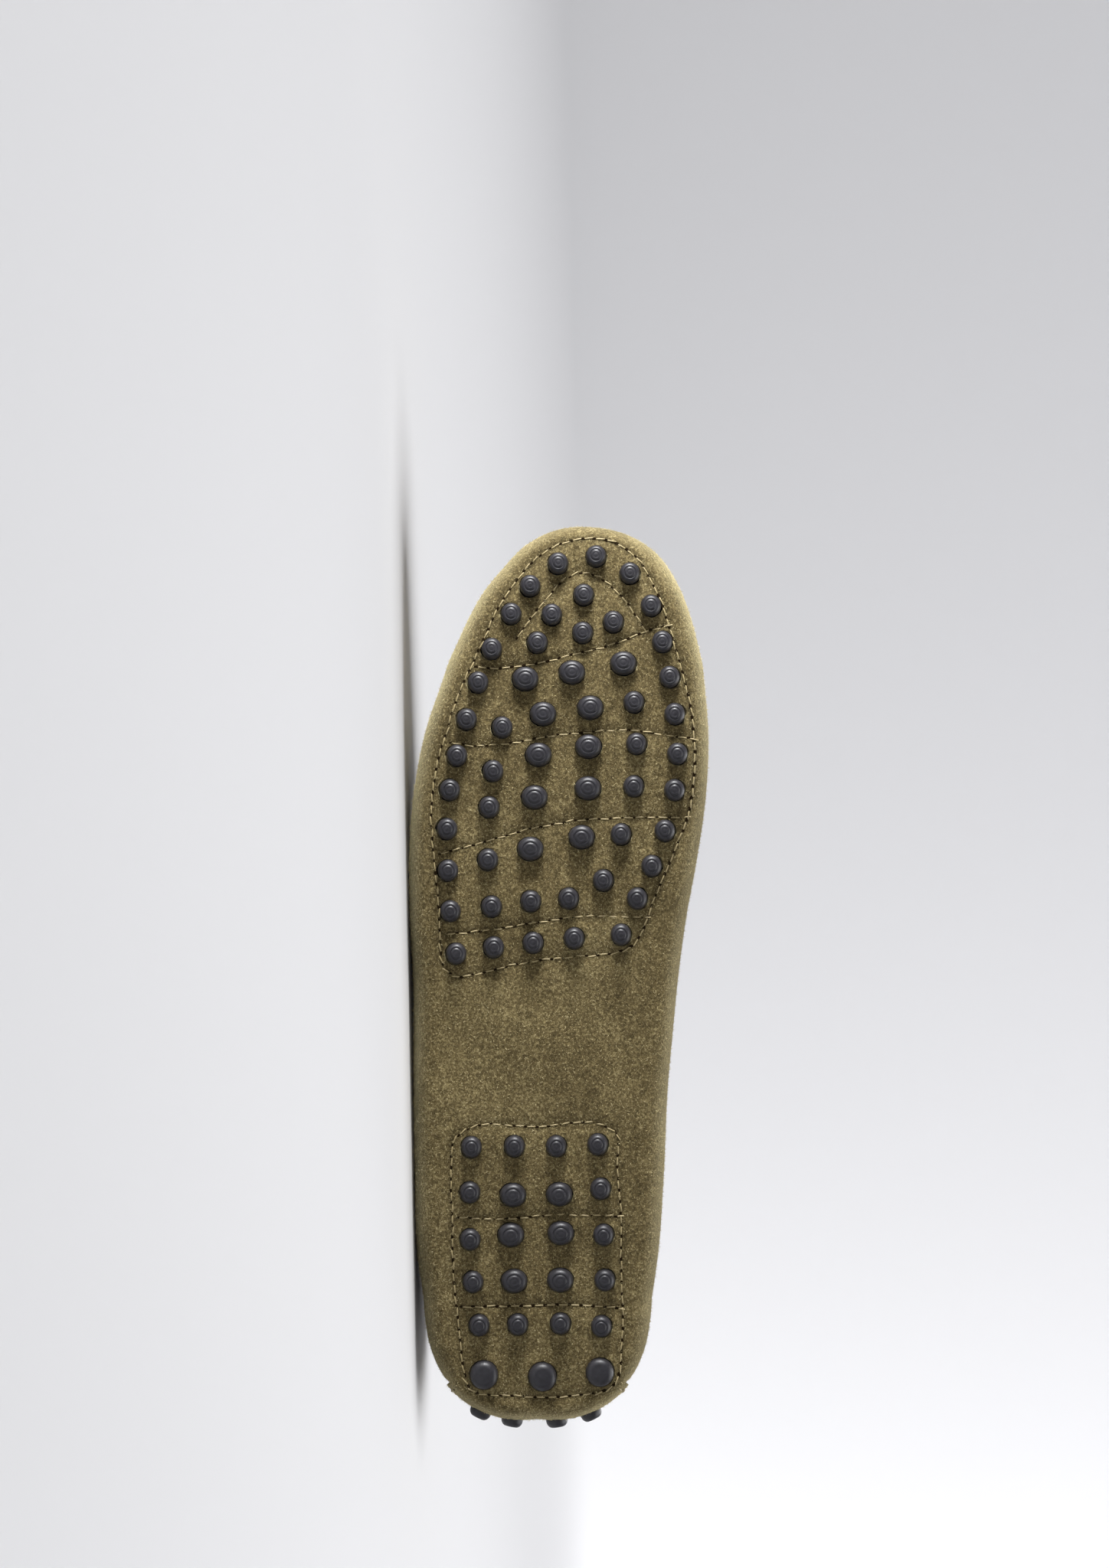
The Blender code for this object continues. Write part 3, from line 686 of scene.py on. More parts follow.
print("seam points:", len(SEAM_POINTS))

# %% [markdown]
# ## The upper
#
# One hide wraps the whole foot from below, which makes this shoe a moccasin. The mesh
# follows the last's sections closely. Its relief adds the pleats that gather the toe to
# the apron, flexing creases at the ball, and a raised edge along the top of the vamp. The stud
# holes are punched in the sheet before it gets its wall, so that each has clean sides.

# %% Relief of the walls
PLEAT_LENGTH = 5.2 * MM
PLEAT_DEPTH = 0.75 * MM
PLEAT_FADE = 8 * MM
RIDGE_HEIGHT = 0.9 * MM
RIDGE_WIDTH = 3.2 * MM
TAB_TURN = 47.0
TAB_PROUD = 0.9 * MM
# Flexing creases on the walls: share of the length, width in mm, depth in mm, lean
CREASES = [(0.632, 5.0, 0.55, 0.05), (0.668, 4.0, 0.45, 0.07), (0.600, 6.0, 0.35, 0.02),
           (0.455, 7.0, 0.40, -0.06), (0.250, 9.0, 0.30, 0.00)]


def smoothstep(value, low, high):
    t = np.clip((value - low) / (high - low), 0, 1)
    return t * t * (3 - 2 * t)


def wall_relief(m, step, walked):
    """Relief up the walls; walked is the distance walked round the shoe to each meridian."""
    up = np.clip(step[None, :] - 2, 0, 1)
    below_edge = (1 - up) * (m.edge_top - EDGE_HEIGHT)[:, None]
    vamp = smoothstep(m.x, THROAT + 0.02, THROAT + 0.10)[:, None]
    toe = smoothstep(m.x, 0.60, TOE_CENTRE)[:, None]
    puff = np.abs(np.sin(np.pi * walked / PLEAT_LENGTH))[:, None] ** 0.7 - 0.7
    pleats = puff * (0.3 + 0.7 * toe) * vamp
    relief = PLEAT_DEPTH * pleats * np.exp(-below_edge / PLEAT_FADE) * (up > 0)
    relief = relief + RIDGE_HEIGHT * vamp * (1 - smoothstep(below_edge, 0, RIDGE_WIDTH))
    relief = relief - 0.5 * MM * vamp * np.exp(-((below_edge - 4.5 * MM) / (2.0 * MM)) ** 2)
    for x, width, depth, lean in CREASES:
        away = ((m.x[:, None] - x - lean * up) * SHOE_LENGTH) / (width * MM)
        relief = relief - depth * MM * np.exp(-away**2) * np.sin(np.pi * up) ** 1.5
    return relief


def tab_relief(m, step):
    """The hide swells out round the heel's edge, where the tab begins, and sinks under it."""
    beside = 1 - smoothstep(np.abs(m.turn - 180), TAB_TURN - 1, TAB_TURN + 3)
    swell = smoothstep(step, 1.0, 1.35) - 1.4 * smoothstep(step, 1.5, 1.7)
    return TAB_PROUD * beside[:, None] * swell[None, :]


# %% Punching the holes
HOLE_SLACK = 0.30 * MM
HOLE_RAG = 0.10 * MM
RING_OFFSET = 0.35 * MM
HOLE_DEPTH = 4 * MM


def hole_shift(stud):
    """Outer holes are punched a little wide on the side away from the shoe's middle."""
    x, y = stud.translation[:2]
    middle = float(column(SIDES, CENTRE, np.array([x / SHOE_LENGTH]))[0]) * BALL_WIDTH
    away = (y - middle) / (0.35 * BALL_WIDTH)
    return Vector((-0.25 * RING_OFFSET, RING_OFFSET * max(-1.0, min(1.0, away)), 0))


def punch(mesh, studs, inverse, shifted=True):
    """Opens a hole for each stud: the faces inside it go, and the edge moves onto it."""
    rng = np.random.default_rng(11)
    points = coordinates(mesh)
    standing = (points - SHIFT) @ TURN
    faces = [np.array(p.vertices) for p in mesh.polygons]
    centres = np.array([standing[face].mean(0) for face in faces])
    gone = np.zeros(len(faces), bool)
    for stud, size in studs:
        frame_in = np.array((stud @ Matrix.Translation(hole_shift(stud) if shifted else (0, 0, 0))).inverted())
        half = np.array([size[1] / 2 + HOLE_SLACK, size[0] / 2 + HOLE_SLACK])
        local = centres @ frame_in[:3, :3].T + frame_in[:3, 3]
        inside = (((local[:, :2] / half) ** 2).sum(1) < 1) & (np.abs(local[:, 2]) < HOLE_DEPTH)
        gone |= inside
        touched = np.unique(np.concatenate([faces[i] for i in np.flatnonzero(inside)]))
        kept = np.unique(np.concatenate([
            faces[i] for i in np.flatnonzero(~gone & (np.linalg.norm(centres - np.array(stud.translation), axis=1) < 0.012))
        ]))
        edge = np.intersect1d(touched, kept)
        spot = standing[edge] @ frame_in[:3, :3].T + frame_in[:3, 3]
        radius = np.sqrt(((spot[:, :2] / half) ** 2).sum(1))
        ragged = 1 + rng.uniform(-HOLE_RAG, HOLE_RAG, len(edge)) / half.mean()
        spot[:, :2] *= (ragged / radius)[:, None]
        out = np.linalg.inv(frame_in)
        standing[edge] = spot @ out[:3, :3].T + out[:3, 3]
    mesh.vertices.foreach_set("co", (standing @ TURN.T + SHIFT).astype(np.float32).ravel())
    bm = bmesh.new()
    bm.from_mesh(mesh)
    bm.faces.ensure_lookup_table()
    bmesh.ops.delete(bm, geom=[bm.faces[i] for i in np.flatnonzero(gone)], context="FACES")
    bm.to_mesh(mesh)
    bm.free()
    return int(gone.sum())


# %% The upper itself
SIDE_STEPS, TOE_STEPS, HEEL_STEPS = 140, 150, 84
FLAT_STEPS, ROLL_STEPS, WALL_STEPS = 32, 10, 22


def upper_points(side_steps, toe_steps, heel_steps, steps):
    """The upper's outside with all its relief, and the painted shade that darkens the suede along the stitch
    grooves.
    """
    m = walk(HEEL_CENTRE, TOE_CENTRE, side_steps, toe_steps, heel_steps)
    distance, height = section(m, steps)
    flat = plan(m, distance).reshape(-1, 2)
    relief, seam = sole_relief(flat)
    under = (1 - smoothstep(steps, 1.25, 1.8))[None, :]
    edge = place(m, *section(m, np.array([2.0])))[:, 0]
    walked = np.concatenate([[0], np.cumsum(np.linalg.norm(np.diff(edge, axis=0), axis=1))])
    total = relief.reshape(distance.shape) * under + wall_relief(m, steps, walked)
    total = total + tab_relief(m, steps)
    # Painted shade in the stitch grooves, strongest within about a millimetre of each line.
    near_seam = np.exp(-(seam / (1.1 * MM)) ** 2).reshape(distance.shape) * under
    points = place(m, *section(m, steps, -total))
    return m, points, near_seam


STEPS = np.concatenate([
    np.linspace(0, 1, FLAT_STEPS + 1), 1 + np.linspace(0, 1, ROLL_STEPS + 1)[1:],
    3 - np.linspace(1, 0, WALL_STEPS + 1)[1:] ** 1.25,
])
meridians, upper_grid, seam_shade = upper_points(SIDE_STEPS, TOE_STEPS, HEEL_STEPS, STEPS)
upper_sheet = sheet("upper_suede", lay(upper_grid), True, {"shade": 0.45 * seam_shade})
opened = punch(upper_sheet, forefoot_studs + heel_studs + back_studs, None)
upper = new_object("upper_suede", upper_sheet, suede, lining, cut_edge)
outer_sheet = upper_sheet.copy()
add_wall(upper, SUEDE, inner=1, rim=2)
bevel = upper.modifiers.new("soft_edges", "BEVEL")
bevel.width = 0.35 * MM
bevel.segments = 2
bevel.limit_method = "ANGLE"
bevel.angle_limit = math.radians(55)
baked(upper)
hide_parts("upper")
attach(upper, "root")
print("upper:", len(upper.data.polygons), "faces,", opened, "faces punched out")

# %% [markdown]
# ## The studs
#
# Each stud is a turned shape: a straight shank, a well rounded shoulder, a fine groove
# and a raised button in the middle, left by the mould. The heel's edge studs have plain
# domes. One turned profile per kind is made, and Geometry Nodes puts a copy on each
# point of the chart, turned and stretched by the point's own attributes.

# %% Turned stud profiles
# Share of the radius and height in mm over the suede, from the root to the middle
RINGED = [(1.00, -2.85), (1.00, 0.95), (0.985, 1.45), (0.95, 1.92), (0.90, 2.32), (0.83, 2.67),
          (0.75, 2.94), (0.67, 3.10), (0.61, 3.15), (0.575, 3.08), (0.54, 3.02), (0.50, 3.12),
          (0.44, 3.32), (0.37, 3.42), (0.29, 3.43), (0.24, 3.36), (0.20, 3.40), (0.0, 3.48)]
PLAIN = [(1.00, -2.85), (1.00, 1.05), (0.985, 1.55), (0.945, 2.05), (0.88, 2.48), (0.79, 2.85),
         (0.69, 3.12), (0.60, 3.26), (0.54, 3.29), (0.48, 3.28), (0.28, 3.38), (0.0, 3.45)]
STUD_SEGMENTS = 28


def turned(name, profile):
    """A turned shape of radius 1 whose heights are in metres, pointing along -Z."""
    bm = bmesh.new()
    line = [bm.verts.new((share, 0, -height * MM)) for share, height in profile]
    edges = [bm.edges.new(pair) for pair in zip(line, line[1:])]
    bmesh.ops.spin(bm, geom=line + edges, axis=(0, 0, 1), cent=(0, 0, 0), steps=STUD_SEGMENTS,
                   angle=2 * math.pi)
    bmesh.ops.remove_doubles(bm, verts=bm.verts, dist=1e-7)
    rim = [e for e in bm.edges if e.is_boundary]
    bmesh.ops.contextual_create(bm, geom=rim)
    bmesh.ops.recalc_face_normals(bm, faces=bm.faces)
    mesh = bpy.data.meshes.new(name)
    bm.to_mesh(mesh)
    bm.free()
    mesh.shade_smooth()
    mesh.set_sharp_from_angle(angle=math.radians(50))
    return new_object(name, mesh)


ringed_stud, plain_stud = turned("ringed_stud", RINGED), turned("plain_stud", PLAIN)


# %% Geometry Nodes: a copy on every point
def scatter_tree():
    """Puts an object on every point, with the point's own turn and stretch."""
    tree = bpy.data.node_groups.new("stud_on_each_point", "GeometryNodeTree")
    face = tree.interface
    face.new_socket(name="Geometry", in_out="INPUT", socket_type="NodeSocketGeometry")
    face.new_socket(name="Stud", in_out="INPUT", socket_type="NodeSocketObject")
    face.new_socket(name="Rubber", in_out="INPUT", socket_type="NodeSocketMaterial")
    face.new_socket(name="Geometry", in_out="OUTPUT", socket_type="NodeSocketGeometry")
    given = add_node(tree, "NodeGroupInput")
    shape = add_node(tree, "GeometryNodeObjectInfo", Object=given.outputs["Stud"])
    turn = add_node(tree, "GeometryNodeInputNamedAttribute", {"data_type": "FLOAT_VECTOR"}, Name="turn")
    size = add_node(tree, "GeometryNodeInputNamedAttribute", {"data_type": "FLOAT_VECTOR"}, Name="size")
    turned_by = add_node(tree, "FunctionNodeEulerToRotation", Euler=turn.outputs["Attribute"])
    copies = add_node(
        tree, "GeometryNodeInstanceOnPoints", Points=given.outputs["Geometry"],
        Instance=shape.outputs["Geometry"], Rotation=turned_by.outputs["Rotation"],
        Scale=size.outputs["Attribute"],
    )
    real = add_node(tree, "GeometryNodeRealizeInstances", Geometry=copies.outputs["Instances"])
    dyed = add_node(tree, "GeometryNodeSetMaterial", Geometry=real.outputs["Geometry"],
                    Material=given.outputs["Rubber"])
    add_node(tree, "NodeGroupOutput", Geometry=dyed.outputs["Geometry"])
    return tree


def add_tree(piece, tree, **values):
    """A Geometry Nodes modifier with its inputs set by their sockets' identifiers."""
    modifier = piece.modifiers.new(tree.name, "NODES")
    modifier.node_group = tree
    sockets = {s.name: s for s in tree.interface.items_tree if s.in_out == "INPUT"}
    for name, value in values.items():
        modifier[sockets[name.replace("_", " ")].identifier] = value
    return modifier


def point_cloud(name, places, vectors):
    """A mesh of loose points with vector attributes."""
    mesh = bpy.data.meshes.new(name)
    mesh.from_pydata([tuple(p) for p in places], [], [])
    for label, rows in vectors.items():
        layer = mesh.attributes.new(label, "FLOAT_VECTOR", "POINT")
        layer.data.foreach_set("vector", np.array(rows, np.float32).ravel())
    return new_object(name, mesh)


STUD_TREE = scatter_tree()


def stud_group(name, studs, shape):
    """The studs of one plate as one plain mesh."""
    rng = np.random.default_rng(3)
    frames = [POSE @ stud for stud, _ in studs]
    sizes = [(size[1] / 2, size[0] / 2, 1) for _, size in studs]
    turns = [
        (f.to_3x3() @ Euler((rng.uniform(-0.03, 0.03), rng.uniform(-0.03, 0.03), 0)).to_matrix()).to_euler()
        for f in frames
    ]
    cloud = point_cloud(name, [f.translation for f in frames], {"turn": turns, "size": sizes})
    add_tree(cloud, STUD_TREE, Stud=shape, Rubber=rubber)
    return baked(cloud)


def join(name, *pieces):
    """Several pieces as one object, in one mesh."""
    bm = bmesh.new()
    for piece in pieces:
        bm.from_mesh(piece.data)
    mesh = bpy.data.meshes.new(name)
    bm.to_mesh(mesh)
    bm.free()
    for piece in pieces:
        bpy.data.objects.remove(piece)
    return new_object(name, mesh)


# %% Plates and their studs
PLATE_INSET = 0.5 * MM
HEEL_PLATE_HALF = 28.5 * MM


def layer_points(m, limit, height):
    """A sheet parallel to the sole out to a limit on each meridian."""
    share = np.array([0, 0.5, 1])
    return place(m, share[None] * limit[:, None], np.full((len(m.x), 3), height))


def rubber_plate(name, m, limit):
    mesh = sheet(name, lay(layer_points(m, limit, SUEDE + GAP)), False)
    return baked(add_wall(new_object(name, mesh, rubber), RUBBER))


def finish_studs(name, node, *pieces):
    studs = join(name, *pieces)
    studs.data.materials.append(rubber)
    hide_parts(node)
    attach(studs, "root")
    print(name, len(studs.data.polygons), "faces")
    return studs


front = walk(0.496, TOE_CENTRE, 24, 20, 0)
finish_studs(
    "forefoot_studs", "forefoot_stud_plate",
    rubber_plate("forefoot_plate", front, front.reach - EDGE_ROLL - PLATE_INSET),
    stud_group("forefoot_cloud", forefoot_studs, ringed_stud),
)
x_heel = np.linspace(HEEL_CENTRE, 0.330, 6)
under_heel = side_walk(x_heel[::-1], -1).joined(
    heel_walk(np.linspace(270, 90, 25)[1:-1]), side_walk(x_heel, 1))
finish_studs(
    "heel_studs", "heel_stud_plate",
    rubber_plate("heel_plate", under_heel,
                 np.minimum(under_heel.reach - EDGE_ROLL - PLATE_INSET, HEEL_PLATE_HALF)),
    stud_group("heel_cloud", heel_studs[:-len(HEEL_EDGE)], ringed_stud),
    stud_group("heel_edge_cloud", heel_studs[-len(HEEL_EDGE):], plain_stud),
)
behind = heel_walk(np.linspace(214, 146, 17))
plate_steps = np.array([1.8, 2.0, 2.25, 2.5, 2.7])
back_plate = baked(add_wall(new_object(
    "back_plate", sheet("back_plate", lay(place(behind, *section(behind, plate_steps, SUEDE + GAP))), False),
    rubber), RUBBER))
finish_studs("heel_back_studs", "heel_back_stud_plate", back_plate,
             stud_group("back_cloud", back_studs, plain_stud))
for shape in (ringed_stud, plain_stud):
    bpy.data.objects.remove(shape)

# %% [markdown]
# ## The heel tab
#
# The hide under the heel runs on as a tab that is turned up over the back seam. It covers
# the small plate, and its edge shows as a corner on each side of the heel.

# %% The tab
TAB_THICKNESS = 1.1 * MM
TAB_TURNS, TAB_ROWS = 76, 50
# Step on the section and half turn in degrees, from under the heel to the tab's top
TAB_OUTLINE = np.array([(1.33, 44.5), (1.55, 46.5), (1.80, 47.0), (1.98, 45.0), (2.10, 40.5),
                        (2.25, 36.0), (2.50, 30.0), (2.70, 23.0), (2.80, 17.0), (2.86, 9.0)])


def tab_points(rows, columns, depth):
    """A grid of the tab's outside, narrowing to its top."""
    steps = np.linspace(TAB_OUTLINE[0, 0], TAB_OUTLINE[-1, 0], rows)
    half = column(TAB_OUTLINE, 1, steps)
    grid = []
    for share in np.linspace(1, -1, columns):
        row = []
        for step, limit in zip(steps, half):
            m = heel_walk(np.array([180 + share * limit]))
            sunk = depth + 0.3 * MM * (1 - smoothstep(step, 1.33, 1.45)) - TAB_PROUD
            row.append(place(m, *section(m, np.array([step]), sunk))[0, 0])
        grid.append(row)
    return np.array(grid)


tab_sheet = sheet("heel_tab", lay(tab_points(TAB_ROWS, TAB_TURNS, 0.0)), False)
shade = tab_sheet.attributes.new("shade", "FLOAT", "POINT")
punch(tab_sheet, back_studs, None, shifted=False)
tab_outer = tab_sheet.copy()
tab = add_wall(new_object("heel_tab", tab_sheet, suede, suede, cut_edge), TAB_THICKNESS, rim=2)
soft = tab.modifiers.new("soft_edges", "BEVEL")
soft.width = 0.3 * MM
soft.segments = 2
soft.angle_limit = math.radians(55)
baked(tab)
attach(tab, "root")
print("heel tab:", len(tab.data.polygons), "faces")

# %% [markdown]
# ## The apron
#
# The apron closes the moccasin over the foot and runs back as the tongue. It is set in
# with a raised seam: both edges stand up side by side and are sewn through by hand, and
# the longer edge of the upper is gathered in small pleats as it goes.

# %% The apron and its tongue
APRON_SUEDE = 1.6 * MM
# The lip in mm: how far in from the upper, and how far above its top
LIP_PROFILE = [(1.70, 1.25), (1.75, 0.70), (1.80, 0.15), (1.90, -0.40), (2.15, -0.90), (2.6, -1.2)]
PUCKER_DEPTH = 0.55 * MM
PUCKER_FADE = 5 * MM
APRON_SHARES = np.concatenate([[0.985, 0.965, 0.94, 0.91, 0.88], np.linspace(0.84, 0, 20)])
FRONT_SIDE_STEPS, FRONT_TOE_STEPS = 100, 130


def crown_slope():
    before = np.array([TOE_CENTRE - 0.02, TOE_CENTRE])
    low, high = column(SIDES, CROWN, before) * INSTEP_HEIGHT
    return (high - low) / (0.02 * SHOE_LENGTH)


def apron_points(m):
    """The apron's outside, from the top of its lip down and in to the middle."""
    top_x, top_z = (v[:, :1] for v in section(m, np.array([3.0]), SUEDE + GAP))
    edge = place(m, *section(m, np.array([3.0])))[:, 0]
    walked = np.concatenate([[0], np.cumsum(np.linalg.norm(np.diff(edge, axis=0), axis=1))])
    lip_x = top_x - np.array(LIP_PROFILE)[None, :, 0] * MM
    lip_z = top_z + np.array(LIP_PROFILE)[None, :, 1] * MM
    foot_x, foot_z = lip_x[:, -1:], lip_z[:, -1:]
    share = APRON_SHARES[None]
    height = foot_z + (m.crown[:, None] + APRON_SUEDE - foot_z) * (1 - share**2)
    height = height + crown_slope() * m.out[:, :1] * foot_x * share * (1 - share)
    away = foot_x * (1 - share)
    pucker = np.abs(np.sin(np.pi * walked / PLEAT_LENGTH))[:, None] ** 0.7 - 0.7
    height = height + PUCKER_DEPTH * pucker * np.exp(-(away / PUCKER_FADE) ** 2) * (away > 0)
    return np.concatenate([place(m, lip_x, lip_z), place(m, share * foot_x, height)], 1)


def tongue_points(x, side, share=None):
    """The tongue's outside behind the throat, from its edge in to the middle."""
    share = np.linspace(1, 0, len(APRON_SHARES) + len(LIP_PROFILE)) if share is None else share
    half, edge, crown = (column(TONGUE, k, x)[:, None] for k in (1, 2, 3))
    centre = column(SIDES, CENTRE, x)[:, None] * BALL_WIDTH
    height = (edge + (crown - edge) * (1 - share**2)) * INSTEP_HEIGHT + APRON_SUEDE
    y = centre + side * share * half * BALL_WIDTH
    flat = np.broadcast_to(x[:, None] * SHOE_LENGTH, y.shape)
    return np.stack([flat, y, height], -1)


tongue_x = 0.392 + 0.074 * np.linspace(0, 1, 26) ** 1.8
front_walk = walk(THROAT, TOE_CENTRE, FRONT_SIDE_STEPS, FRONT_TOE_STEPS, 0)
apron_grid = np.concatenate([
    tongue_points(tongue_x, 1), apron_points(front_walk), tongue_points(tongue_x[::-1], -1)])
apron_sheet = sheet("apron_suede", lay(apron_grid), False)
apron_sheet.attributes.new("shade", "FLOAT", "POINT")
apron_outer = apron_sheet.copy()
apron = add_wall(new_object("apron_suede", apron_sheet, suede, lining, cut_edge), APRON_SUEDE,
                 inner=1, rim=2)
soft = apron.modifiers.new("soft_edges", "BEVEL")
soft.width = 0.4 * MM
soft.segments = 2
soft.angle_limit = math.radians(60)
baked(apron)
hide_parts("apron")
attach(apron, "root")
print("apron:", len(apron.data.polygons), "faces")

# %% [markdown]
# ## Inside the shoe
#
# A thin leather lining covers the walls and the rubber behind the heel, and the insole
# lies over the plates.

# %% Lining and insole
LINING_THICKNESS = 0.5 * MM
inside = walk(HEEL_CENTRE, TOE_CENTRE, 70, 40, 40)
inside_steps = np.concatenate([np.linspace(1.55, 2, 6), 2 + np.linspace(0, 0.985, 15)[1:]])
cover = 1 - smoothstep(np.abs(inside.turn - 180), 40, 60)
lining_depth = SUEDE + 0.12 * MM + (RUBBER + GAP) * cover[:, None]
lining_depth = lining_depth * (1 - 0.35 * smoothstep(inside_steps, 2.85, 3.0))[None]
lining_grid = place(inside, *section(inside, inside_steps, lining_depth))
sock = add_wall(new_object("wall_lining", sheet("wall_lining", lay(lining_grid), True), lining),
                LINING_THICKNESS)
baked(sock)
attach(sock, "root")

INSOLE_INSET = 5 * MM
base = walk(HEEL_CENTRE, TOE_CENTRE, 60, 40, 40)
insole_height = SUEDE + GAP + RUBBER + GAP
shares = np.array([0, 0.25, 0.5, 0.75, 0.9, 0.96, 1.0])
limit = (base.reach - INSOLE_INSET)[:, None]
rounded = insole_height + 0.5 * MM * smoothstep(shares, 0.9, 1.0)[None] * np.ones_like(limit)
insole_sheet = sheet("insole_leather", lay(place(base, shares[None] * limit, rounded)), True)
insole = add_wall(new_object("insole_leather", insole_sheet, lining), INSOLE - 0.5 * MM)
soft = insole.modifiers.new("soft_edges", "BEVEL")
soft.width = 0.6 * MM
soft.segments = 3
soft.angle_limit = math.radians(50)
baked(insole)
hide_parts("insole")
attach(insole, "root")
print("inside:", len(sock.data.polygons), len(insole.data.polygons), "faces")

# %% [markdown]
# ## Sewing
#
# A stitch is a short, slightly sunken length of thread between two needle holes. One
# Geometry Nodes tree walks along any line at the stitch pitch and lays a small rounded
# body on it, with its flat side on the suede. It serves for threads, for dark lenses of
# painted shade that stand for the needle holes between them, and, turned across the line,
# for the whip stitches of the moccasin seam.

# %% Geometry Nodes: a row of stitches
def maths(tree, operation, *values):
    """One sum of a tree; values are sockets or numbers."""
    sockets = {f"in_{i}": value for i, value in enumerate(values)}
    return add_node(tree, "ShaderNodeMath", {"operation": operation}, **sockets).outputs[0]


def thread_body(tree, given):
    """A bow of thread: its chord is Length, it rises by Height and is Width thick."""
    half = maths(tree, "MULTIPLY", given["Length"], 0.5)
    angle = maths(tree, "MULTIPLY", maths(tree, "ARCTAN2", given["Height"], half), 2.0)
    radius = maths(tree, "DIVIDE", half, maths(tree, "SINE", angle))
    bow = add_node(
        tree, "GeometryNodeCurveArc", Resolution=8, Radius=radius,
        Start_Angle=maths(tree, "SUBTRACT", math.pi / 2, angle),
        Sweep_Angle=maths(tree, "MULTIPLY", angle, 2.0),
    )
    ring = add_node(tree, "GeometryNodeCurvePrimitiveCircle", Resolution=6,
                    Radius=maths(tree, "MULTIPLY", given["Width"], 0.5))
    swept = add_node(tree, "GeometryNodeCurveToMesh", Curve=bow.outputs["Curve"],
                     Profile_Curve=ring.outputs["Curve"], Fill_Caps=True)
    lift = add_node(tree, "ShaderNodeCombineXYZ", Z=maths(tree, "SUBTRACT", given["Height"], radius))
    return add_node(tree, "GeometryNodeTransform", Geometry=swept.outputs["Mesh"],
                    Rotation=(math.pi / 2, 0, 0), Translation=lift.outputs["Vector"])


def hole_body(tree, given):
    """A dark lens of painted hole shade, Length long, Width wide and Height thick."""
    ball = add_node(tree, "GeometryNodeMeshUVSphere", Segments=8, Rings=6, Radius=0.5)
    stretch = add_node(tree, "ShaderNodeCombineXYZ", X=given["Length"], Y=given["Width"],
                       Z=given["Height"])
    return add_node(tree, "GeometryNodeTransform", Geometry=ball.outputs["Mesh"],
                    Scale=stretch.outputs["Vector"])


def row_tree(name, body):
    """Walks along a line at the stitch pitch and lays one body on each step."""
    tree = bpy.data.node_groups.new(name, "GeometryNodeTree")
    face = tree.interface
    face.new_socket(name="Geometry", in_out="INPUT", socket_type="NodeSocketGeometry")
    for label in ("Pitch", "Length", "Width", "Height", "Shift", "Across", "Wobble"):
        face.new_socket(name=label, in_out="INPUT", socket_type="NodeSocketFloat")
    face.new_socket(name="Seed", in_out="INPUT", socket_type="NodeSocketInt")
    face.new_socket(name="Thread", in_out="INPUT", socket_type="NodeSocketMaterial")
    face.new_socket(name="Geometry", in_out="OUTPUT", socket_type="NodeSocketGeometry")
    given = add_node(tree, "NodeGroupInput").outputs
    line = add_node(tree, "GeometryNodeMeshToCurve", Mesh=given["Geometry"])
    even = add_node(tree, "GeometryNodeResampleCurve", {"mode": "LENGTH"},
                    Curve=line.outputs["Curve"], Length=given["Pitch"])
    shaped = body(tree, given)
    move = add_node(tree, "ShaderNodeCombineXYZ", X=given["Shift"])
    along = add_node(tree, "FunctionNodeAlignRotationToVector", {"axis": "X"},
                     Vector=add_node(tree, "GeometryNodeInputTangent").outputs["Tangent"])
    out = add_node(tree, "GeometryNodeInputNamedAttribute", {"data_type": "FLOAT_VECTOR"}, Name="outwards")
    upright = add_node(tree, "FunctionNodeAlignRotationToVector", {"axis": "Z", "pivot_axis": "X"},
                       Rotation=along.outputs["Rotation"], Vector=out.outputs["Attribute"])
    wobble = add_node(tree, "FunctionNodeRandomValue", {"data_type": "FLOAT"}, Seed=given["Seed"])
    swing = maths(tree, "MULTIPLY_ADD", maths(tree, "SUBTRACT", wobble.outputs[1], 0.5),
                  given["Wobble"], given["Across"])
    angle = add_node(tree, "ShaderNodeCombineXYZ", Z=swing)
    turn = add_node(tree, "FunctionNodeRotateRotation", {"rotation_space": "LOCAL"},
                    Rotation=upright.outputs["Rotation"],
                    Rotate_By=add_node(tree, "FunctionNodeEulerToRotation",
                                       Euler=angle.outputs["Vector"]).outputs["Rotation"])
    copies = add_node(tree, "GeometryNodeInstanceOnPoints", Points=even.outputs["Curve"],
                      Instance=shaped.outputs["Geometry"], Rotation=turn.outputs["Rotation"])
    moved = add_node(tree, "GeometryNodeTranslateInstances", Instances=copies.outputs["Instances"],
                     Translation=move.outputs["Vector"])
    real = add_node(tree, "GeometryNodeRealizeInstances", Geometry=moved.outputs["Instances"])
    smooth = add_node(tree, "GeometryNodeSetShadeSmooth", Geometry=real.outputs["Geometry"])
    dyed = add_node(tree, "GeometryNodeSetMaterial", Geometry=smooth.outputs["Geometry"],
                    Material=given["Thread"])
    add_node(tree, "NodeGroupOutput", Geometry=dyed.outputs["Geometry"])
    return tree


THREAD_TREE = row_tree("row_of_stitches", thread_body)
HOLE_TREE = row_tree("row_of_needle_holes", hole_body)


def line_object(name, lines):
    """Lines as loose edges; each is (points, outward directions, closed) in the scene."""
    places, outs, edges = [], [], []
    for points, outwards, closed in lines:
        first = len(places)
        places += [tuple(p) for p in points]
        outs += [tuple(o) for o in outwards]
        edges += [(first + i, first + i + 1) for i in range(len(points) - 1)]
        if closed:
            edges.append((len(places) - 1, first))
    mesh = bpy.data.meshes.new(name)
    mesh.from_pydata(places, edges, [])
    layer = mesh.attributes.new("outwards", "FLOAT_VECTOR", "POINT")
    layer.data.foreach_set("vector", np.array(outs, np.float32).ravel())
    return new_object(name, mesh)


def sewn(name, lines, tree, **values):
    """A row of stitches or needle holes along each line, as one plain mesh."""
    row = line_object(name, lines)
    add_tree(row, tree, Thread=thread if tree == THREAD_TREE else needle_hole_shade, **values)
    baked(row)
    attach(row, "root")
    print(name, len(row.data.polygons), "faces")
    return row


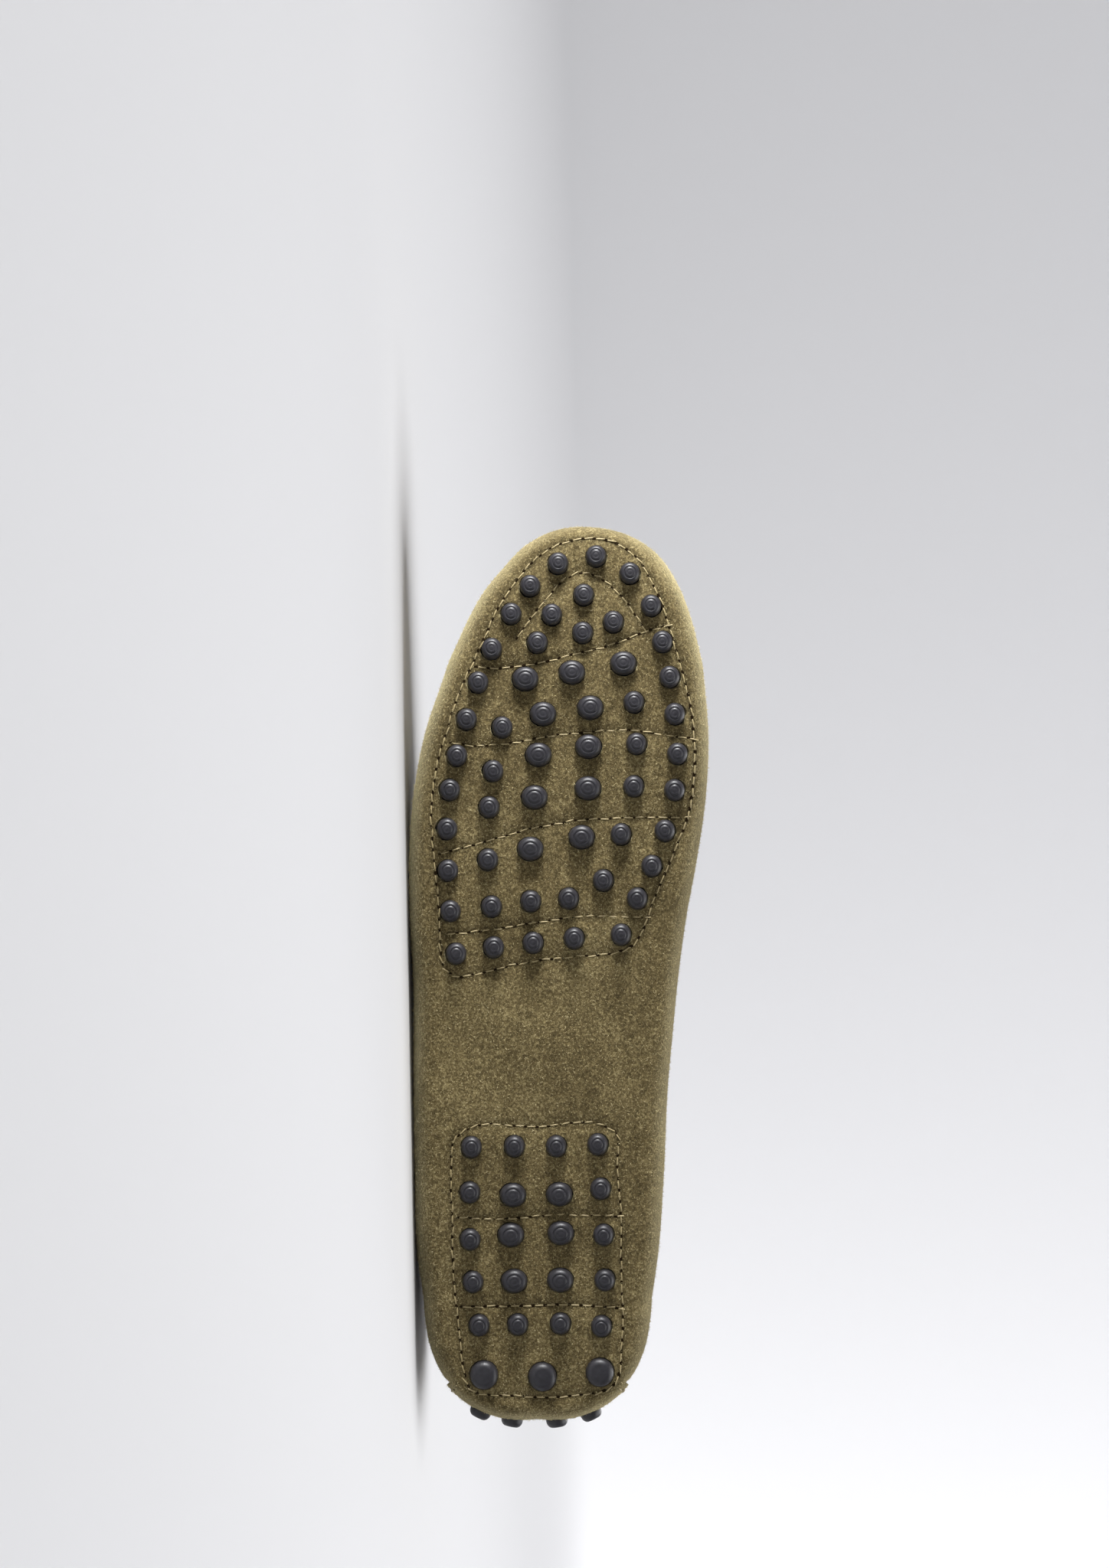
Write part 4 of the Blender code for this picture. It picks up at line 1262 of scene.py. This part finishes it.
# %% Sewing under the sole
STITCH = 3.7 * MM
THREAD_SIZE = dict(Length=2.9 * MM, Width=0.50 * MM, Height=0.25 * MM)
HOLE_SIZE = dict(Length=1.75 * MM, Width=1.10 * MM, Height=0.24 * MM)


def on_the_sole(line, closed, lift):
    """A charted line laid on the sewn suede, lifted off it by a little."""
    relief, _ = sole_relief(line)
    height = -(relief + lift)
    flat = np.column_stack([line, height])
    above = spring(np.column_stack([line, height + MM]))
    points = spring(flat)
    return lay(points), (points - above) @ TURN.T / MM, closed


closed_lines = [True, True] + [False] * (len(sole_lines) - 2)
thread_lines = [on_the_sole(line, c, -0.18 * MM) for line, c in zip(sole_lines, closed_lines)]
hole_lines = [on_the_sole(line, c, 0.0) for line, c in zip(sole_lines, closed_lines)]
sewn("sole_stitches", thread_lines, THREAD_TREE, Pitch=STITCH, Shift=STITCH / 2, Wobble=0.25,
     Seed=1, **THREAD_SIZE)
sewn("sole_needle_holes", hole_lines, HOLE_TREE, Pitch=STITCH, Shift=0.0, Wobble=0.5, Seed=2,
     **HOLE_SIZE)


# %% Sewing on the walls
def on_the_wall(m, step, lift, relief):
    """A line round the shoe at a step of the section, or a step for each meridian."""
    steps = np.broadcast_to(step, len(m.x))[:, None]
    points = place(m, *section(m, steps, -(lift + relief)))[:, 0]
    beyond = place(m, *section(m, steps, -(lift + relief) - MM))[:, 0]
    return lay(points), (beyond - points) @ TURN.T / MM


def line_along(m, below, lift, relief):
    """A line a fixed distance below the top edge."""
    step = 3 - below / (m.edge_top - EDGE_HEIGHT)
    return on_the_wall(m, step, lift, relief)


x_quarter = np.linspace(HEEL_CENTRE, THROAT - 0.01, 60)
quarters = side_walk(x_quarter[::-1], -1).joined(
    heel_walk(np.linspace(270, 90, 50)[1:-1]), side_walk(x_quarter, 1))
COLLAR_STITCH = 3.2 * MM
collar_line = (*line_along(quarters, 4.6 * MM, 0.0, 0.0), False)
sewn("collar_stitches", [collar_line], THREAD_TREE, Pitch=COLLAR_STITCH,
     Shift=COLLAR_STITCH / 2, Wobble=0.15, Seed=3, Length=2.5 * MM, Width=0.45 * MM,
     Height=0.22 * MM)
sewn("collar_needle_holes", [collar_line], HOLE_TREE, Pitch=COLLAR_STITCH, Shift=0.0,
     Wobble=0.3, Seed=4, Length=1.0 * MM, Width=0.6 * MM, Height=0.16 * MM)


def tab_edge(side, inset):
    """The tab's edge on one side, inset by an angle, from below to its top."""
    steps = np.linspace(1.6, 2.80, 40)
    half = np.clip(column(TAB_OUTLINE, 1, steps) - inset, 0, None)
    m = heel_walk(180 + side * half)
    return on_the_wall(m, steps, TAB_PROUD - 0.1 * MM, 0.0)


left, right = tab_edge(1, 3.4), tab_edge(-1, 3.4)
tab_line = (np.concatenate([left[0], right[0][::-1]]),
            np.concatenate([left[1], right[1][::-1]]), False)
sewn("tab_stitches", [tab_line], THREAD_TREE, Pitch=STITCH, Shift=STITCH / 2, Wobble=0.2,
     Seed=6, **THREAD_SIZE)
sewn("tab_needle_holes", [tab_line], HOLE_TREE, Pitch=STITCH, Shift=0.0, Wobble=0.4, Seed=7,
     **HOLE_SIZE)

# %% [markdown]
# ## The raised seam
#
# Round the apron the two edges stand up side by side, and a thick thread is whipped over
# them, one bow in each dip between the gathers. It is the same tree as for the sole, with
# a bow that rises more than half a circle and stands across the line.

# %% Whipped thread on the raised seam
WHIP_SLANT = math.radians(66)
seam_walk = walk(THROAT + 0.008, TOE_CENTRE, 90, 90, 0)
ridge_x, ridge_z = section(seam_walk, np.array([3.0]), SUEDE)
ridge = place(seam_walk, ridge_x, ridge_z - 1.3 * MM)[:, 0]
ridge_up = np.column_stack([0.25 * seam_walk.out, np.ones(len(ridge))])
sewn("moccasin_seam_stitches", [(lay(ridge), ridge_up @ TURN.T, False)], THREAD_TREE,
     Pitch=PLEAT_LENGTH, Shift=0.0, Across=WHIP_SLANT, Wobble=0.15, Seed=5,
     Length=4.6 * MM, Width=0.95 * MM, Height=2.9 * MM)

# %% [markdown]
# ## The bound collar
#
# Where the foot goes in, a raw suede edge would rub and stretch, so a narrow strip of soft
# leather is folded over it. It is a tube round the top edge, flattened a little, with its
# two ends closed under the tongue.

# %% Binding round the collar
BINDING_WIDE, BINDING_HIGH = 1.75 * MM, 1.6 * MM


def unit(rows):
    return rows / np.linalg.norm(rows, axis=-1, keepdims=True)


def edge_tube(name, m, material):
    """A closed tube along the top edge of the walls."""
    middle = place(m, *section(m, np.array([3.0]), SUEDE / 2))[:, 0]
    outwards = unit(place(m, *section(m, np.array([3.0]), 0.0))[:, 0] - middle)
    upwards = unit(middle - place(m, *section(m, np.array([2.9]), SUEDE / 2))[:, 0])
    turns = np.linspace(0, 2 * math.pi, 14, endpoint=False)[None, :, None]
    rings = middle[:, None] + outwards[:, None] * BINDING_WIDE * np.cos(turns)
    rings = rings + upwards[:, None] * BINDING_HIGH * (np.sin(turns) - 0.35)
    rings = lay(np.concatenate([rings, rings[:, :1]], 1))
    mesh = sheet(name, rings, False)
    bm = bmesh.new()
    bm.from_mesh(mesh)
    bmesh.ops.holes_fill(bm, edges=[e for e in bm.edges if e.is_boundary])
    bmesh.ops.recalc_face_normals(bm, faces=bm.faces)
    bm.to_mesh(mesh)
    bm.free()
    mesh.shade_smooth()
    return new_object(name, mesh, material)


binding = edge_tube("collar_binding", quarters, binding_leather)
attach(binding, "root")
print("binding:", len(binding.data.polygons), "faces")

# %% Sewing round the tongue
TONGUE_SHARE = 0.80
down = tongue_points(np.linspace(0.466, 0.4005, 30), 1, TONGUE_SHARE)[:, 0]
across = np.linspace(TONGUE_SHARE, -TONGUE_SHARE, 24)[1:-1]
back = np.concatenate([tongue_points(np.array([0.4000]), 1, share)[:, 0] for share in across])
tongue_line = np.concatenate([down, back, (tongue_points(
    np.linspace(0.4005, 0.466, 30), -1, TONGUE_SHARE)[:, 0])])
tongue_row = [(lay(tongue_line), np.tile(TURN[:, 2], (len(tongue_line), 1)), False)]
sewn("tongue_stitches", tongue_row, THREAD_TREE, Pitch=COLLAR_STITCH, Shift=COLLAR_STITCH / 2,
     Wobble=0.15, Seed=8, Length=2.5 * MM, Width=0.45 * MM, Height=0.30 * MM)
sewn("tongue_needle_holes", tongue_row, HOLE_TREE, Pitch=COLLAR_STITCH, Shift=0.0, Wobble=0.3,
     Seed=9, Length=1.0 * MM, Width=0.6 * MM, Height=0.16 * MM)

# %% [markdown]
# ## Nap
#
# The standing fibres show as fine strokes on the suede and as fuzz along its outline. Their colour, far paler
# than the suede's, is painted sheen that brightens the outline and the strokes.
# Geometry Nodes scatter tiny three-sided spikes over the outer sheets, leaning at random.

# %% Geometry Nodes: scattered fibres
FIBRE_LENGTH = 0.85 * MM
FIBRE_RADIUS = 0.055 * MM
FIBRES_PER_M2 = 0.9e6


def fibre_tree():
    tree = bpy.data.node_groups.new("suede_nap", "GeometryNodeTree")
    face = tree.interface
    face.new_socket(name="Geometry", in_out="INPUT", socket_type="NodeSocketGeometry")
    for name in ("Density", "Length", "Radius", "Lean"):
        face.new_socket(name=name, in_out="INPUT", socket_type="NodeSocketFloat")
    face.new_socket(name="Seed", in_out="INPUT", socket_type="NodeSocketInt")
    face.new_socket(name="Suede", in_out="INPUT", socket_type="NodeSocketMaterial")
    face.new_socket(name="Geometry", in_out="OUTPUT", socket_type="NodeSocketGeometry")
    given = add_node(tree, "NodeGroupInput").outputs
    spread = add_node(tree, "GeometryNodeDistributePointsOnFaces", {"distribute_method": "RANDOM"},
                      Mesh=given["Geometry"], Density=given["Density"], Seed=given["Seed"])
    spike = add_node(tree, "GeometryNodeMeshCone", {"fill_type": "NONE"}, Vertices=3,
                     Radius_Top=0.0, Radius_Bottom=given["Radius"], Depth=given["Length"])
    lean = add_node(tree, "ShaderNodeCombineXYZ", X=given["Lean"], Y=given["Lean"], Z=3.14159)
    back = add_node(tree, "ShaderNodeVectorMath", {"operation": "SCALE"},
                    in_0=lean.outputs["Vector"], Scale=-1.0)
    tilt = add_node(tree, "FunctionNodeRandomValue", {"data_type": "FLOAT_VECTOR"},
                    in_0=back.outputs["Vector"], in_1=lean.outputs["Vector"])
    turn = add_node(tree, "FunctionNodeRotateRotation", {"rotation_space": "LOCAL"},
                    Rotation=spread.outputs["Rotation"],
                    Rotate_By=add_node(tree, "FunctionNodeEulerToRotation",
                                       Euler=tilt.outputs[0]).outputs["Rotation"])
    size = add_node(tree, "FunctionNodeRandomValue", {"data_type": "FLOAT"}, in_2=0.5, in_3=1.2)
    copies = add_node(tree, "GeometryNodeInstanceOnPoints", Points=spread.outputs["Points"],
                      Instance=spike.outputs["Mesh"], Rotation=turn.outputs["Rotation"],
                      Scale=size.outputs[1])
    real = add_node(tree, "GeometryNodeRealizeInstances", Geometry=copies.outputs["Instances"])
    dyed = add_node(tree, "GeometryNodeSetMaterial", Geometry=real.outputs["Geometry"],
                    Material=given["Suede"])
    add_node(tree, "NodeGroupOutput", Geometry=dyed.outputs["Geometry"])
    return tree


# Painted sheen: the fibres are far paler than the suede so that the outline brightens where they overlap.
sheen_fibre_suede = suede_material("suede_fibre", "#8a7c55", "#c2b487", "#efe5bd", False)
FIBRE_TREE = fibre_tree()


def napped(name, mesh, seed):
    nap = new_object(name, mesh)
    add_tree(nap, FIBRE_TREE, Density=FIBRES_PER_M2, Length=FIBRE_LENGTH, Radius=FIBRE_RADIUS,
             Lean=1.25, Seed=seed, Suede=sheen_fibre_suede)
    baked(nap)
    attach(nap, "root")
    print(name, len(nap.data.polygons), "faces")
    return nap


napped("upper_nap", outer_sheet, 21)
napped("tab_nap", tab_outer, 22)
napped("apron_nap", apron_outer, 23)

# %% [markdown]
# ## Floor, light and camera
#
# The floor is a pale sweep that turns up behind the shoe. The light comes mostly from
# beyond the toe, as in a studio with a large lamp over the toe, and falls off towards the
# heel. The camera looks straight at the sole with the toe at the top, just above the
# floor that the shoe lies on.

# %% The sweep
SWEEP_FLAT, SWEEP_CURVE, SWEEP_TOP, SWEEP_SIDES = 2.1, 0.9, 2.4, 96


def sweep():
    """A round floor that curves up into a wall on all sides, so no view meets an edge."""
    profile = [(0.0, 0.0), (0.5, 0.0), (1.2, 0.0)]
    for i in range(21):
        angle = math.radians(90 * i / 20)
        profile.append((SWEEP_FLAT + SWEEP_CURVE * math.sin(angle),
                        SWEEP_CURVE * (1 - math.cos(angle))))
    profile.append((SWEEP_FLAT + SWEEP_CURVE, SWEEP_TOP))
    radius, height = np.array(profile).T
    turns = np.linspace(0, 2 * math.pi, SWEEP_SIDES, endpoint=False)[:, None]
    points = np.stack([radius * np.sin(turns), radius * np.cos(turns),
                       np.broadcast_to(height, (SWEEP_SIDES, len(height)))], -1)
    material, tree, shader = new_material("pale_studio_paper")
    place_in = add_node(tree, "ShaderNodeTexCoord").outputs["Object"]
    tooth = noise(tree, place_in, 0.6, 3.0)
    bump = add_node(tree, "ShaderNodeBump", Strength=0.1, Distance=0.05 * MM, Height=tooth)
    tree.links.new(bump.outputs["Normal"], shader.inputs["Normal"])
    shader.inputs["Base Color"].default_value = linear("#e8e8ea")
    shader.inputs["Roughness"].default_value = 0.9
    shader.inputs["Specular IOR Level"].default_value = 0.2
    floor = new_object("floor_sweep", sheet("floor_sweep", points, True), material)
    return floor


floor_paper = sweep()


# %% Lights
def softbox(name, location, target, size, power, spread=180):
    """A square softbox aimed at a point; spread in degrees is how wide it throws."""
    data = bpy.data.lights.new(name, "AREA")
    data.size = size
    data.energy = power
    data.spread = math.radians(spread)
    lamp = bpy.data.objects.new(name, data)
    bpy.context.scene.collection.objects.link(lamp)
    lamp.visible_camera = False
    lamp.location = location
    aim = Vector(target) - Vector(location)
    lamp.rotation_euler = aim.to_track_quat("-Z", "Y").to_euler()
    return lamp


toe_softbox = softbox("toe_softbox", (-0.60, -0.195, 0.08), (0.0, -0.035, 0.04), 0.20, 1.5, 60)
floor_softbox = softbox("floor_softbox", (0.55, -0.10, 1.90), (0.40, 0.0, 0.0), 1.80, 42.0)
upper_softbox = softbox("upper_softbox", (0.20, 1.30, 1.50), (0.15, 0.05, 0.05), 1.00, 20.0)
wall_softbox = softbox("wall_softbox", (1.50, 1.60, 0.90), (0.70, 2.9, 0.60), 0.80, 22.0)


# %% Flags that keep each light to its own job
def lit_only(light, pieces):
    """Keeps a light to the pieces given, as a black flag does on a studio set."""
    lit = bpy.data.collections.new(light.name + "_lights")
    for piece in pieces:
        lit.objects.link(piece)
    light.light_linking.receiver_collection = lit


shoe_pieces = [o for o in bpy.context.scene.objects if o.type == "MESH" and o != floor_paper]
lit_only(toe_softbox, shoe_pieces)
lit_only(upper_softbox, shoe_pieces)
lit_only(wall_softbox, [floor_paper])
print(len(shoe_pieces), "pieces of the shoe take the toe and the upper softbox")

world = bpy.data.worlds.new("studio")
world.use_nodes = True
world.node_tree.nodes["Background"].inputs["Color"].default_value = linear("#f2f3f5")
world.node_tree.nodes["Background"].inputs["Strength"].default_value = 0.13
bpy.context.scene.world = world
bpy.context.scene.view_settings.view_transform = "Standard"

# %% Camera
CAMERA_DISTANCE = 1.25
FRAME_HEIGHT = 0.500
AXIS_POINT = Vector((0.2042, 0.0054, -0.0035))


def photo_camera():
    """A camera over the sole, toe up, with the photo's framing."""
    data = bpy.data.cameras.new("photo_camera")
    data.sensor_width = 36
    data.lens = 36 * CAMERA_DISTANCE / FRAME_HEIGHT
    camera = bpy.data.objects.new("photo_camera", data)
    bpy.context.scene.collection.objects.link(camera)
    turn = POSE.to_3x3()
    back, up = turn @ Vector((0, 0, -1)), turn @ Vector((1, 0, 0))
    axes = Matrix((up.cross(back), up, back)).transposed()
    place_at = POSE @ AXIS_POINT + back * CAMERA_DISTANCE
    camera.matrix_world = Matrix.Translation(place_at) @ axes.to_4x4()
    bpy.context.scene.camera = camera
    return camera


camera = photo_camera()
print("camera height over the floor in mm:", round(1000 * camera.matrix_world.translation.z))
